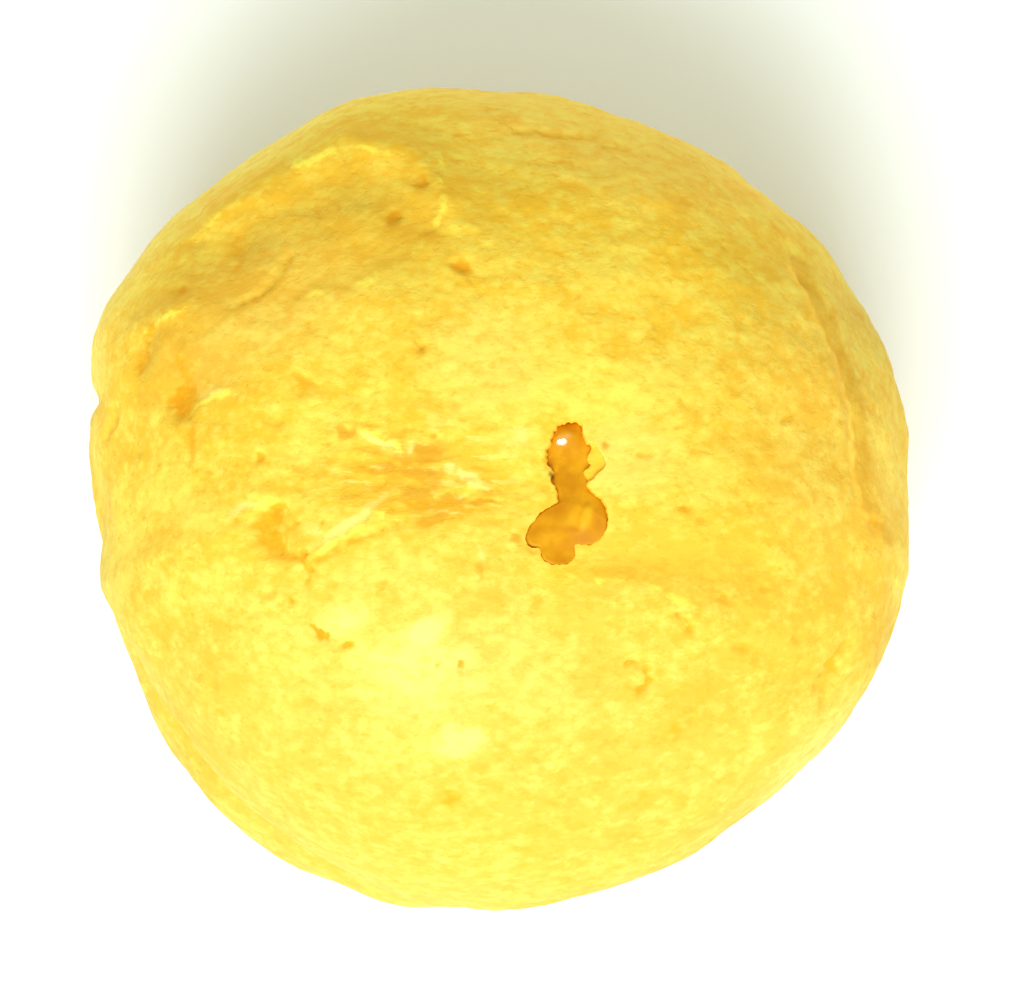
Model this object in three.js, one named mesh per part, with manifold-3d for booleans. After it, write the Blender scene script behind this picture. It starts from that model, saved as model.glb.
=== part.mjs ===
// A small round cream puff, torn open at the top so that its pineapple filling shows.
// Millimetres, +Z up. The origin is on the table, under the middle of the puff. The bearing 0 is +X.
import * as THREE from 'three';
import { mergeVertices } from 'three/addons/utils/BufferGeometryUtils.js';
import Module from 'manifold-3d';

const wasm = await Module();
wasm.setup();

const DEGREE = Math.PI / 180;
const GOLDEN_ANGLE = Math.PI * (3 - Math.sqrt(5));

// The baked body: a dome above the waist and a belt below it.
// Each rounds over by a power: 2 is an ellipse, and more is boxier.
const WIDEST = 55;
const HEIGHT = 38;
const WAIST = 18.5;
const DOME = { rise: HEIGHT - WAIST, power: 2.2 };
const BELT = { rise: 20.5, power: 2.7 }; // it would reach below the table, which presses it flat

// The outline from above: swellings round it, each with its count, height and the bearing of one crest.
const OUTLINE = [
  { count: 2, height: 0.26, crest: -10 },
  { count: 3, height: 0.48, crest: 10 },
  { count: 4, height: 0.28, crest: -29 },
  { count: 5, height: 0.27, crest: 17 },
  { count: 6, height: 0.13, crest: 30 },
  { count: 7, height: 0.21, crest: 10 },
  { count: 8, height: 0.15, crest: -22 },
  { count: 9, height: 0.08, crest: -11 },
];
// How the waist wanders up and down round the puff.
const WAIST_SWAY = [
  { count: 1, height: 0.7, crest: 20 },
  { count: 3, height: 0.6, crest: 95 },
];

// The crease between belt and dome stays open in places: the bearing of the middle, how far each runs
// to either side, and how open it is.
const OPENINGS = [
  { bearing: 15, run: 25, open: 0.4 },
  { bearing: 82, run: 22, open: 0.6 },
  { bearing: 178, run: 16, open: 0.4 },
  { bearing: 226, run: 28, open: 0.75 },
];
const CREASE_STEP = 1.9; // how far the dome stands back where the crease is open
const CREASE_BULGE = 1.1; // and how far the belt stands out there
const CREASE_DEPTH = 0.7; // how much deeper than the dome's foot the crease is
const CREASE_ABOVE = 0.1; // how far each side rounds into the crease, as a share of the way to the pole
const CREASE_BELOW = 0.13;

// Hollows in the dome, from above: middle, half length and half width, turn of the length, and depth.
const HOLLOWS = {
  roundTheTear: { x: 4.6, y: -2.1, long: 6.5, wide: 5, turn: 80, depth: 0.7 },
  peeledPanel: { x: -10.4, y: 15, long: 8.2, wide: 4.2, turn: 17, depth: 0.7 },
  leftDent: { x: -21.4, y: 7.9, long: 2.4, wide: 1.7, turn: 58, depth: 0.8 },
  leftPit: { x: -19.7, y: 5.3, long: 2.2, wide: 1.4, turn: 86, depth: 1.1 },
  poppedBubble: { x: -13.6, y: -4.7, long: 2.5, wide: 1.5, turn: -32, depth: 0.9 },
  puckeredSkin: { x: -4.6, y: -0.8, long: 5.2, wide: 2.6, turn: -12, depth: 0.5 },
  outsideTheCrease: { x: 25, y: 6, long: 9, wide: 2.6, turn: 105, depth: 0.7 },
};

// Folds and furrows in the dome, from above: the line that each follows, its half width and its height.
const FOLDS = {
  furrow: {
    line: [[4.8, -6.2], [6.6, -6.4], [9.4, -6.2], [12.4, -6.2], [15.9, -6.6]],
    wide: 1.4,
    height: -0.7,
  },
  foldBelowIt: {
    line: [[4.3, -8.5], [6.9, -8], [9, -7.9], [11, -8.6], [13.3, -9.5]],
    wide: 1.5,
    height: 0.45,
  },
  lipOfPanel: {
    line: [[-17.8, 16.9], [-14.4, 18.5], [-9.6, 21.2], [-5.2, 20], [-2.9, 17]],
    wide: 1.4,
    height: 0.6,
  },
  lipOfDent: { line: [[-22.1, 9.9], [-19.6, 10.3]], wide: 1.4, height: 0.45 },
  sliver: { line: [[-10.9, -5.2], [-8.6, -4.2], [-6, -2.6]], wide: 1.3, height: 0.35 },
  creaseOnTheRight: {
    line: [[18.5, 13.8], [20.2, 10.3], [22, 6.6], [22.8, 2.7], [23, -1.9], [24.6, -3.3]],
    wide: 1.1,
    height: -0.8,
  },
};

// Nicks in the outline.
const NICKS = {
  left: { bearing: 166, wide: 3.6, height: 16, tall: 4, depth: 1.6 },
  upperRight: { bearing: 50, wide: 3.5, height: 18, tall: 6, depth: 0.4 },
};

// The crust is never quite even: long swells and short bumps, as wave length, height and number of waves.
const SWELLS = { length: 17, height: 0.28, waves: 6 };
const BUMPS = { length: 6.5, height: 0.11, waves: 9 };

// The tear, from above: ovals where bubbles have burst through the crust and run together, each with
// its middle, half length and half width, and the turn of its length.
const BURSTS = {
  upper: { x: 4.7, y: 0.75, long: 1.5, wide: 1.18, turn: 100 },
  leftOfUpper: { x: 4.1, y: 0.25, long: 0.95, wide: 0.85, turn: 90 },
  tip: { x: 5.1, y: 1.3, long: 0.98, wide: 0.5, turn: 80 },
  rightOfUpper: { x: 6.05, y: -0.1, long: 1.05, wide: 0.83, turn: 80 },
  neck: { x: 4.95, y: -1.5, long: 1.6, wide: 0.95, turn: 85 },
  leftOfNeck: { x: 4.2, y: -1.15, long: 0.68, wide: 0.42, turn: 15 },
  lowerRight: { x: 5.85, y: -3.45, long: 1.65, wide: 1.2, turn: -75 },
  underLowerRight: { x: 5.4, y: -4.35, long: 0.95, wide: 0.74, turn: 0 },
  lowerLeft: { x: 3.8, y: -3.95, long: 1.95, wide: 0.85, turn: 40 },
  ankle: { x: 3.95, y: -5.2, long: 1, wide: 0.92, turn: 0 },
  foot: { x: 4.05, y: -5.85, long: 1.05, wide: 0.62, turn: 0 },
};
const BURST_CORNERS = 30;
const RAGGED = { count: 7, share: 0.05 };

// The filling lies in a hollow under the tear. The crust over it is thin at the tear and thick elsewhere.
const CAVITY = { x: 4.4, y: -2.2, z: 23.2, long: 14, tall: 13.3, power: 3 };
const CAVITY_DETAIL = 6;
const FILLING_GAP = 0.3;
const FRUIT = { x: 5.8, y: -3.6, long: 1.5, wide: 1, turn: 66, stands: 0.45, sunk: 1.5 };

// The crust is made of rings of corners from pole to pole, drawn closer together at the waist.
const RING_CORNERS = 84;
const RINGS = 50;
const CROWDING = 0.25;

// Rolling unevenness of about -1 to 1: ripples of one length, crossing from directions all round a sphere.
function ripples(point, { length, waves }) {
  let sum = 0;
  for (let k = 0; k < waves; k++) {
    const rise = 1 - (2 * k + 1) / waves;
    const level = Math.sqrt(1 - rise * rise);
    const spin = k * GOLDEN_ANGLE;
    const along = point.x * level * Math.cos(spin) + point.y * level * Math.sin(spin) + point.z * rise;
    sum += Math.sin((along * 2 * Math.PI) / length + spin);
  }
  return sum / Math.sqrt(waves);
}

// The angle from one bearing to another, in degrees, from -180 to 180.
function turnBetween(from, to) {
  return ((((to - from + 180) % 360) + 360) % 360) - 180;
}

function swellings(list, bearing) {
  return list.reduce((sum, s) => sum + s.height * Math.cos(s.count * (bearing - s.crest) * DEGREE), 0);
}

// How open the crease is at a bearing, from 0 to 1.
function opening(bearing) {
  const share = (o) => Math.exp(-((turnBetween(o.bearing, bearing) / o.run) ** 4));
  return Math.max(...OPENINGS.map((o) => o.open * share(o)));
}

function hollowDepth(hollow, x, y) {
  const c = Math.cos(hollow.turn * DEGREE);
  const s = Math.sin(hollow.turn * DEGREE);
  const u = ((x - hollow.x) * c + (y - hollow.y) * s) / hollow.long;
  const v = ((y - hollow.y) * c - (x - hollow.x) * s) / hollow.wide;
  return hollow.depth * Math.exp(-((u * u + v * v) ** 2));
}

function distanceToLine(line, x, y) {
  const here = new THREE.Vector3(x, y, 0);
  const nearest = new THREE.Vector3();
  const distances = line.slice(1).map((end, i) => {
    const stretch = new THREE.Line3(new THREE.Vector3(...line[i], 0), new THREE.Vector3(...end, 0));
    return stretch.closestPointToPoint(here, true, nearest).distanceTo(here);
  });
  return Math.min(...distances);
}

function foldHeight(fold, x, y) {
  return fold.height * Math.exp(-((distanceToLine(fold.line, x, y) / fold.wide) ** 2));
}

function nickDepth(nick, bearing, height) {
  const across = turnBetween(nick.bearing, bearing) / nick.wide;
  const up = (height - nick.height) / nick.tall;
  return nick.depth * Math.exp(-across * across - up * up);
}

// How far a form reaches from its middle in a direction, from its half sizes and the power it rounds by.
function roundedReach(direction, long, tall, power) {
  const level = (Math.hypot(direction.x, direction.y) / long) ** power;
  const steep = (Math.abs(direction.z) / tall) ** power;
  return (level + steep) ** (-1 / power);
}

// The point of the crust in a direction from the middle of the waist.
function crustPoint(direction) {
  const bearing = Math.atan2(direction.y, direction.x) / DEGREE;
  const open = opening(bearing);
  const inDome = direction.z > 0;
  const { rise, power } = inDome ? DOME : BELT;
  const foot = WIDEST / 2 + swellings(OUTLINE, bearing) + open * (inDome ? -CREASE_STEP : CREASE_BULGE);
  const point = direction.clone().multiplyScalar(roundedReach(direction, foot, rise, power));
  const groove = inDome
    ? CREASE_DEPTH * Math.exp(-direction.z / CREASE_ABOVE)
    : (CREASE_DEPTH + CREASE_STEP + CREASE_BULGE) * Math.exp(direction.z / CREASE_BELOW);
  const hollows = Object.values(HOLLOWS).reduce((sum, h) => sum + hollowDepth(h, point.x, point.y), 0);
  const folds = Object.values(FOLDS).reduce((sum, f) => sum + foldHeight(f, point.x, point.y), 0);
  const onDome = THREE.MathUtils.smoothstep(direction.z, 0, 0.2);
  const uneven = SWELLS.height * ripples(point, SWELLS) + BUMPS.height * ripples(point, BUMPS);
  const nicks = Object.values(NICKS).reduce((sum, n) => sum + nickDepth(n, bearing, point.z + WAIST), 0);
  point.addScaledVector(direction, onDome * (folds - hollows) - open * groove - nicks + uneven);
  const sway = swellings(WAIST_SWAY, bearing) * (1 - direction.z ** 2) ** 2;
  return point.setZ(Math.max(0, point.z + WAIST + sway));
}

// A direction, drawn a little towards the level of the waist.
function crowded(direction) {
  const rise = Math.asin(THREE.MathUtils.clamp(direction.z, -1, 1));
  const drawn = rise - (CROWDING / 2) * Math.sin(2 * rise);
  const level = Math.cos(drawn) / Math.max(Math.hypot(direction.x, direction.y), Number.EPSILON);
  return new THREE.Vector3(direction.x * level, direction.y * level, Math.sin(drawn));
}

// Only the positions, with shared corners merged, as a closed solid needs.
function bare(geometry) {
  geometry.deleteAttribute('normal');
  geometry.deleteAttribute('uv');
  return mergeVertices(geometry, 1e-4);
}

function toSolid(geometry) {
  return new wasm.Manifold(new wasm.Mesh({
    numProp: 3,
    vertProperties: geometry.getAttribute('position').array,
    triVerts: new Uint32Array(geometry.index.array),
  }));
}

function toGeometry(solid) {
  const mesh = solid.getMesh();
  return new THREE.BufferGeometry()
    .setAttribute('position', new THREE.BufferAttribute(mesh.vertProperties, 3))
    .setIndex(new THREE.BufferAttribute(mesh.triVerts, 1));
}

// A unit sphere's points, each moved by a function from its direction to its place.
function shaped(sphere, place) {
  const geometry = bare(sphere);
  const position = geometry.getAttribute('position');
  const direction = new THREE.Vector3();
  for (let i = 0; i < position.count; i++) {
    direction.fromBufferAttribute(position, i).normalize();
    position.setXYZ(i, ...place(direction).toArray());
  }
  return toSolid(geometry);
}

// An upright oval prism with a ragged edge, which cuts one burst bubble out of the crust over the cavity.
function burstCutter({ x, y, long, wide, turn }) {
  const edge = Array.from({ length: BURST_CORNERS }, (_, i) => {
    const bearing = (i / BURST_CORNERS) * 2 * Math.PI;
    const reach = 1 + RAGGED.share * Math.sin(RAGGED.count * bearing + turn);
    return new THREE.Vector2(long * reach * Math.cos(bearing), wide * reach * Math.sin(bearing));
  });
  const geometry = new THREE.ExtrudeGeometry(new THREE.Shape(edge), { depth: HEIGHT, bevelEnabled: false });
  return toSolid(bare(geometry.rotateZ(turn * DEGREE).translate(x, y, CAVITY.z)));
}

// The cavity's form round its own middle, taken in all round by a gap.
function cavityForm(gap) {
  const { long, tall, power } = CAVITY;
  return shaped(new THREE.IcosahedronGeometry(1, CAVITY_DETAIL), (direction) => {
    return direction.multiplyScalar(roundedReach(direction, long - gap, tall - gap, power));
  });
}

function crustGeometry() {
  const sphere = new THREE.SphereGeometry(1, RING_CORNERS, RINGS).rotateX(Math.PI / 2);
  const body = shaped(sphere, (direction) => crustPoint(crowded(direction)));
  const cavity = cavityForm(0).translate([CAVITY.x, CAVITY.y, CAVITY.z]);
  const tear = Object.values(BURSTS).map(burstCutter);
  return toGeometry(tear.reduce((crust, burst) => crust.subtract(burst), body.subtract(cavity)));
}

// The filling round its own middle, with a shred of pineapple half sunk in it where the tear shows it.
function fillingGeometry() {
  const x = FRUIT.x - CAVITY.x;
  const y = FRUIT.y - CAVITY.y;
  const level = (Math.hypot(x, y) / CAVITY.long) ** CAVITY.power;
  const top = CAVITY.tall * (1 - level) ** (1 / CAVITY.power) - FILLING_GAP;
  const shred = bare(new THREE.CapsuleGeometry(FRUIT.wide / 2, FRUIT.long - FRUIT.wide, 3, 10));
  shred.scale(1, 1, (FRUIT.stands + FRUIT.sunk) / FRUIT.wide);
  shred.rotateZ((FRUIT.turn - 90) * DEGREE);
  shred.translate(x, y, top + (FRUIT.stands - FRUIT.sunk) / 2);
  return toGeometry(cavityForm(FILLING_GAP).add(toSolid(shred)));
}

function solidMesh(name, geometry, colour, roughness) {
  const material = new THREE.MeshStandardMaterial({ color: colour, roughness, metalness: 0 });
  const mesh = new THREE.Mesh(geometry, material);
  mesh.name = name;
  return mesh;
}

const crust = solidMesh('puff_shell', crustGeometry(), 0xf4cb45, 0.8);
const filling = solidMesh('pineapple_filling', fillingGeometry(), 0xeb9f1e, 0.25);
filling.position.set(CAVITY.x, CAVITY.y, CAVITY.z);

// The puff stands with its outline centred over the origin.
const puff = new THREE.Group();
puff.add(crust, filling);
const middle = new THREE.Box3().setFromObject(puff).getCenter(new THREE.Vector3());
puff.position.set(-middle.x, -middle.y, 0);

const part = new THREE.Group();
part.add(puff);
export default part;
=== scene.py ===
# %% [markdown]
# # A small cream puff, torn open at the top
#
# The puff is a ball of light dough that has blown up in the oven. Its skin is yellow, dry and crumbly,
# and pitted where bubbles have burst. On top it has torn, and the amber pineapple filling shines
# through the tear. We look almost straight down on it, on a white table in soft daylight.
#
# The plan: rebuild the baked body from the same handful of sizes as the plain model that comes with
# it, but with corners close enough together to carry crumbs, pits and flakes as real relief. Then mix
# the finishes, lay the filling in the tear, and light it.

import math

import bpy
import numpy as np
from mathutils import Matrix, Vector, noise


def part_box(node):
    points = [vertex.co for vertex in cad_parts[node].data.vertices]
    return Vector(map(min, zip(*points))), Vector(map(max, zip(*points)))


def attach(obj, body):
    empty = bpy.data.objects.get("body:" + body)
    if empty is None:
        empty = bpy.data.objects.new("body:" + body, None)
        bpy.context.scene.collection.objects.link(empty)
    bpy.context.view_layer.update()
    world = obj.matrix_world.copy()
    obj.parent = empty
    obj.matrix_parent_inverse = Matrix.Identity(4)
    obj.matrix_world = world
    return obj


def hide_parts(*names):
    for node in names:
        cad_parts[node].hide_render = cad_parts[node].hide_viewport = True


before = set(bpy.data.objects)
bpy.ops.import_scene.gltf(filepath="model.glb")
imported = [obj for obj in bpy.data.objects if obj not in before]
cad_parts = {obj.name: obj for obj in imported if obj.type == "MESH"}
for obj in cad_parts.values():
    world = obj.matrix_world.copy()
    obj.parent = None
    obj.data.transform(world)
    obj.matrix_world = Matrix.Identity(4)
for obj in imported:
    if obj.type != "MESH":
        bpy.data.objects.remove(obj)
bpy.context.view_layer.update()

# %% [markdown]
# ## The baked body
#
# Dough that rises in an oven swells into a dome above a waist and a belt below it, and the table keeps
# the foot flat. A rounded form whose power is a little over 2 is fuller than an ellipse, as the real
# thing is. The outline isn't a circle either, so a few slow waves run round it. Where belt and dome
# pressed against each other a crease stays open. All sizes are in millimetres, and bearings are in
# degrees, counted from the right, counter-clockwise seen from above.

# %% Sizes of the body
MM = 0.001
WIDEST = 55.0
HEIGHT = 38.0
WAIST = 18.5
DOME_RISE, DOME_POWER = HEIGHT - WAIST, 2.2
BELT_RISE, BELT_POWER = 20.5, 2.7

# Waves round the outline and in the height of the waist: count, height, bearing of a crest.
OUTLINE = [
    (2, 0.26, -10), (3, 0.48, 10), (4, 0.28, -29), (5, 0.27, 17), (6, 0.13, 30), (7, 0.21, 10),
    (8, 0.15, -22), (9, 0.08, -11),
]
WAIST_SWAY = [(1, 0.7, 20), (3, 0.6, 95)]

# Where the crease is open: bearing, how far it runs to either side, how open.
OPENINGS = [(15, 25, 0.4), (82, 22, 0.6), (178, 16, 0.4), (226, 28, 0.75)]
# There the dome steps back and the belt bulges out, with a groove between them.
CREASE_STEP, CREASE_BULGE, CREASE_DEPTH = 1.9, 1.1, 0.7
# How quickly the groove fades out above and below the waist.
CREASE_ABOVE, CREASE_BELOW = 0.1, 0.13

# Broad hollows in the dome: x, y, half length, half width, turn of the length, depth.
HOLLOWS = [
    (4.6, -2.1, 6.5, 5.0, 80, 0.7),
    (-10.4, 15.0, 8.2, 4.2, 17, 0.55),
    (-22.1, 8.2, 1.9, 1.0, 68, 0.25),
    (-19.5, 4.8, 1.7, 1.1, 75, 0.2),
    (-13.5, -4.2, 2.0, 1.4, -50, 0.5),
    (-4.6, -0.8, 5.2, 2.6, -12, 0.5),
    (25.0, 6.0, 9.0, 2.6, 105, 0.7),
]
# Broad folds and furrows: the line that each follows, half width, height.
FOLDS = [
    ([(4.8, -6.2), (6.6, -6.4), (9.4, -6.2), (12.4, -6.2), (15.9, -6.6)], 1.4, -0.3),
    ([(4.3, -8.5), (6.9, -8.0), (9.0, -7.9), (11.0, -8.6), (13.3, -9.5)], 1.5, 0.35),
    ([(-17.8, 16.9), (-14.4, 18.5), (-9.6, 21.2), (-5.2, 20.0), (-2.9, 17.0)], 1.4, 0.6),
    ([(-22.1, 9.9), (-19.6, 10.3)], 1.4, 0.25),
    ([(-10.9, -5.2), (-8.6, -4.2), (-6.0, -2.6)], 1.3, 0.2),
    ([(19.0, 14.0), (20.8, 10.2), (22.4, 6.6), (23.2, 2.7), (23.6, -1.6), (25.0, -3.2)], 0.8, -0.25),
]
# Nicks in the outline: bearing, half width, height of its middle, half height, depth.
NICKS = [(166.5, 4.2, 16.0, 4.0, 0.8), (167.6, 1.5, 18.0, 5.0, 0.9), (50, 3.5, 18.0, 6.0, 0.4)]
# The dough is never quite even: long swells and short bumps, as wave length, height and number of waves.
SWELLS = (17.0, 0.28, 6)
BUMPS = (6.5, 0.11, 9)

# %% The form of the body
GOLDEN_ANGLE = math.pi * (3 - math.sqrt(5))


def ripples(points, length, waves):
    """Rolling unevenness of about -1 to 1: waves of one length that cross from all directions."""
    total = 0
    for k in range(waves):
        rise = 1 - (2 * k + 1) / waves
        level = math.sqrt(1 - rise * rise)
        spin = k * GOLDEN_ANGLE
        way = np.array([level * math.cos(spin), level * math.sin(spin), rise])
        total = total + np.sin(points @ way * 2 * math.pi / length + spin)
    return total / math.sqrt(waves)


def turn_between(start, end):
    return (end - start + 180) % 360 - 180


def waves_round(waves, bearing):
    return sum(height * np.cos(np.radians(count * (bearing - crest))) for count, height, crest in waves)


def smooth(low, high, value):
    """0 below low, 1 above high, and a smooth rise between them."""
    t = np.clip((value - low) / (high - low), 0, 1)
    return t * t * (3 - 2 * t)


def distance_to_line(line, x, y, signed=False):
    """How far away a line of corners is. Signed, it's below 0 on the right of the line's course."""
    nearest = np.full(np.shape(x), np.inf)
    side = np.ones(np.shape(x))
    for (ax, ay), (bx, by) in zip(line, line[1:]):
        dx, dy = bx - ax, by - ay
        t = np.clip(((x - ax) * dx + (y - ay) * dy) / (dx * dx + dy * dy), 0, 1)
        away = np.hypot(x - ax - t * dx, y - ay - t * dy)
        side = np.where(away < nearest, np.sign(dx * (y - ay) - dy * (x - ax)), side)
        nearest = np.minimum(nearest, away)
    return nearest * side if signed else nearest


def oval(x, y, middle_x, middle_y, long, wide, turn):
    """How far out a place is on an oval: 0 in its middle and 1 on its edge."""
    c, s = math.cos(math.radians(turn)), math.sin(math.radians(turn))
    u = ((x - middle_x) * c + (y - middle_y) * s) / long
    v = ((y - middle_y) * c - (x - middle_x) * s) / wide
    return np.hypot(u, v)


def opening(bearing):
    """How open the crease is at a bearing, from 0 to 1."""
    return np.max([o * np.exp(-((turn_between(b, bearing) / run) ** 4)) for b, run, o in OPENINGS], axis=0)


def bearing_of(direction):
    return np.degrees(np.arctan2(direction[:, 1], direction[:, 0]))


def body(direction, relief):
    """The skin's places in directions from the middle of the waist. relief(place, direction) lifts them."""
    bearing = bearing_of(direction)
    up = direction[:, 2]
    dome = up > 0
    open_share = opening(bearing)
    stands_out = open_share * np.where(dome, -CREASE_STEP, CREASE_BULGE)
    foot = WIDEST / 2 + waves_round(OUTLINE, bearing) + stands_out
    power = np.where(dome, DOME_POWER, BELT_POWER)
    rise = np.where(dome, DOME_RISE, BELT_RISE)
    level = np.hypot(direction[:, 0], direction[:, 1])
    reach = ((level / foot) ** power + (abs(up) / rise) ** power) ** (-1 / power)
    place = direction * reach[:, None]
    x, y, z = place.T
    groove = np.where(
        dome,
        CREASE_DEPTH * np.exp(-up / CREASE_ABOVE),
        (CREASE_DEPTH + CREASE_STEP + CREASE_BULGE) * np.exp(up / CREASE_BELOW),
    )
    hollows = sum(depth * np.exp(-(oval(x, y, *where) ** 4)) for *where, depth in HOLLOWS)
    folds = sum(
        height * np.exp(-((distance_to_line(line, x, y) / wide) ** 2)) for line, wide, height in FOLDS
    )
    nicks = sum(
        depth * np.exp(-((turn_between(b, bearing) / wide) ** 2) - ((z + WAIST - middle) / tall) ** 2)
        for b, wide, middle, tall, depth in NICKS
    )
    uneven = SWELLS[1] * ripples(place, SWELLS[0], SWELLS[2]) + BUMPS[1] * ripples(place, BUMPS[0], BUMPS[2])
    lift = smooth(0, 0.2, up) * (folds - hollows) - open_share * groove - nicks + uneven
    place = place + direction * lift[:, None]
    place = place + direction * relief(place, direction)[:, None]
    place[:, 2] += WAIST + waves_round(WAIST_SWAY, bearing) * (1 - up * up) ** 2
    place[:, 2] = np.maximum(place[:, 2], 0)
    return place


# %% [markdown]
# ## The tear
#
# Steam bubbles under the skin burst one beside the other and ran together, which is why the tear looks
# like a keyhole with a ragged edge. So the edge is found the way a rubber band would: it starts as a
# wide loop and is drawn in until it lies against twelve ovals, one for each burst bubble. The corners
# stay evenly spaced along it. A little fraying by noise does the rest.

# %% The tear's edge
COARSER = 1
FEW, MANY = 300 // COARSER, 600 // COARSER

# x, y, half length, half width, turn of the length.
BURSTS = [
    (4.7, 0.75, 1.5, 1.18, 100),
    (4.1, 0.25, 0.95, 0.85, 90),
    (5.1, 1.38, 0.98, 0.5, 80),
    (4.5, 1.82, 0.65, 0.52, 0),
    (6.05, -0.1, 1.05, 0.83, 80),
    (4.95, -1.5, 1.6, 0.95, 85),
    (4.2, -1.15, 0.68, 0.42, 15),
    (5.85, -3.45, 1.65, 1.2, -75),
    (5.4, -4.35, 0.95, 0.74, 0),
    (3.75, -3.9, 2.05, 0.95, 38),
    (3.95, -5.2, 1.0, 0.92, 0),
    (4.0, -5.85, 0.98, 0.62, 0),
]
# The middle of the tear, and how large the loop is before it's drawn in.
TEAR_X, TEAR_Y, WIDE_LOOP = 4.8, -2.2, 5
# How many times it's drawn in, how far at most each time, and how much it's smoothed.
DRAWN_IN, LONGEST_STEP, SMOOTHED = 400, 0.1, 0.15
# Over what distance the corners between neighbouring bubbles are rounded.
RUN_TOGETHER = 0.1
# How far the edge frays and the length of the fraying, in two sizes.
FRAY, FINE_FRAY = (0.17, 0.7), (0.07, 0.25)


def grain(points, size, octaves=3):
    """Natural unevenness of about -1 to 1, whose largest lumps measure size."""
    return np.array([noise.fractal(p, 1.0, 2.0, octaves) for p in (points / size).tolist()])


def away_from_bursts(points):
    """How far outside the nearest burst bubble each place is, with the corners between them rounded."""
    away = [(oval(*points.T, x, y, long, wide, turn) - 1) * wide for x, y, long, wide, turn in BURSTS]
    return -RUN_TOGETHER * np.log(np.exp(-np.array(away) / RUN_TOGETHER).sum(0))


def sideways(loop):
    """The direction straight out of a closed loop at each of its corners."""
    along = np.roll(loop, -1, 0) - np.roll(loop, 1, 0)
    return np.column_stack([along[:, 1], -along[:, 0]]) / np.linalg.norm(along, axis=1)[:, None]


def spread_evenly(loop):
    closed = np.vstack([loop, loop[:1]])
    length = np.concatenate([[0], np.cumsum(np.linalg.norm(np.diff(closed, axis=0), axis=1))])
    wanted = np.arange(len(loop)) / len(loop) * length[-1]
    return np.column_stack([np.interp(wanted, length, closed[:, axis]) for axis in (0, 1)])


round_turn = np.arange(FEW) / FEW * 2 * math.pi
spoke = np.column_stack([np.cos(round_turn), np.sin(round_turn)])
tear_edge = np.array([TEAR_X, TEAR_Y]) + WIDE_LOOP * spoke
for _ in range(DRAWN_IN):
    step = np.clip(away_from_bursts(tear_edge), -LONGEST_STEP, LONGEST_STEP) / 2
    tear_edge = tear_edge - sideways(tear_edge) * step[:, None]
    tear_edge += SMOOTHED * ((np.roll(tear_edge, -1, 0) + np.roll(tear_edge, 1, 0)) / 2 - tear_edge)
    tear_edge = spread_evenly(tear_edge)
level_edge = np.column_stack([tear_edge, np.zeros(FEW)])
fray = FRAY[0] * grain(level_edge, FRAY[1], 3) + FINE_FRAY[0] * grain(level_edge + 5, FINE_FRAY[1], 2)
tear_edge = spread_evenly(tear_edge + sideways(tear_edge) * fray[:, None])
print("tear, mm:", tear_edge.min(0).round(1), "to", tear_edge.max(0).round(1))

# %% [markdown]
# ## Rings of corners
#
# A skin this fine needs its corners where the eye goes. Rings that follow the tear's ragged edge close
# by, and open out to circles round the whole puff further off, do that with no waste. An edge can be
# written as a sum of turning circles, large slow ones and small fast ones. Letting the fast ones die
# away first, as a ring moves off, irons out the edge the way ripples on a pond lose their wobble.
# The rings have half as many corners next to the tear and well below the waist, where a smaller ring or
# a plainer skin needs fewer.

# %% Rings from the tear to the foot
# How fast the wobble goes, for each turn of one radian away from the tear.
DIE_AWAY = 3.0
# How far from the tear the rings are centred on the puff, and where they have become plain circles.
CENTRED_BY, ROUND_BY = 1.3, 1.5


def dome_turn(plan):
    """A place seen from above, as the turn away from straight up, towards that place."""
    level = np.hypot(*plan.T)
    rise = DOME_RISE * (1 - (level / (WIDEST / 2)) ** DOME_POWER) ** (1 / DOME_POWER)
    return plan / level[:, None] * np.arctan2(level, rise)[:, None]


speeds = np.fft.fftfreq(FEW, 1 / FEW)


def circles_of(edge):
    """The turning circles whose sum is this edge."""
    return np.fft.fft(dome_turn(edge) @ np.array([1, 1j])) / FEW


def directions(circles, away, corners):
    """The directions of one ring, at a turn of `away` from the tear's edge."""
    kept = circles * np.exp(-abs(speeds - 1) * DIE_AWAY * away)
    kept[0] = circles[0] * (1 - smooth(0, CENTRED_BY, away))
    kept[1] = circles[1] * (1 - smooth(0, ROUND_BY, away) + away / abs(circles[1]))
    turns = np.arange(corners) / corners * 2 * math.pi
    flat = np.exp(1j * np.outer(turns, speeds)) @ kept
    turn = abs(flat)
    return np.column_stack([flat.real / turn * np.sin(turn), flat.imag / turn * np.sin(turn), np.cos(turn)])


def no_relief(place, direction):
    return np.zeros(len(place))


# The skin lies lower round the tear than a plain dome, so the edge needs aiming a little further out.
aimed = tear_edge.copy()
for _ in range(3):
    aimed += tear_edge - body(directions(circles_of(aimed), 0, FEW), no_relief)[:, :2]
tear_circles = circles_of(aimed)

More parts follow.
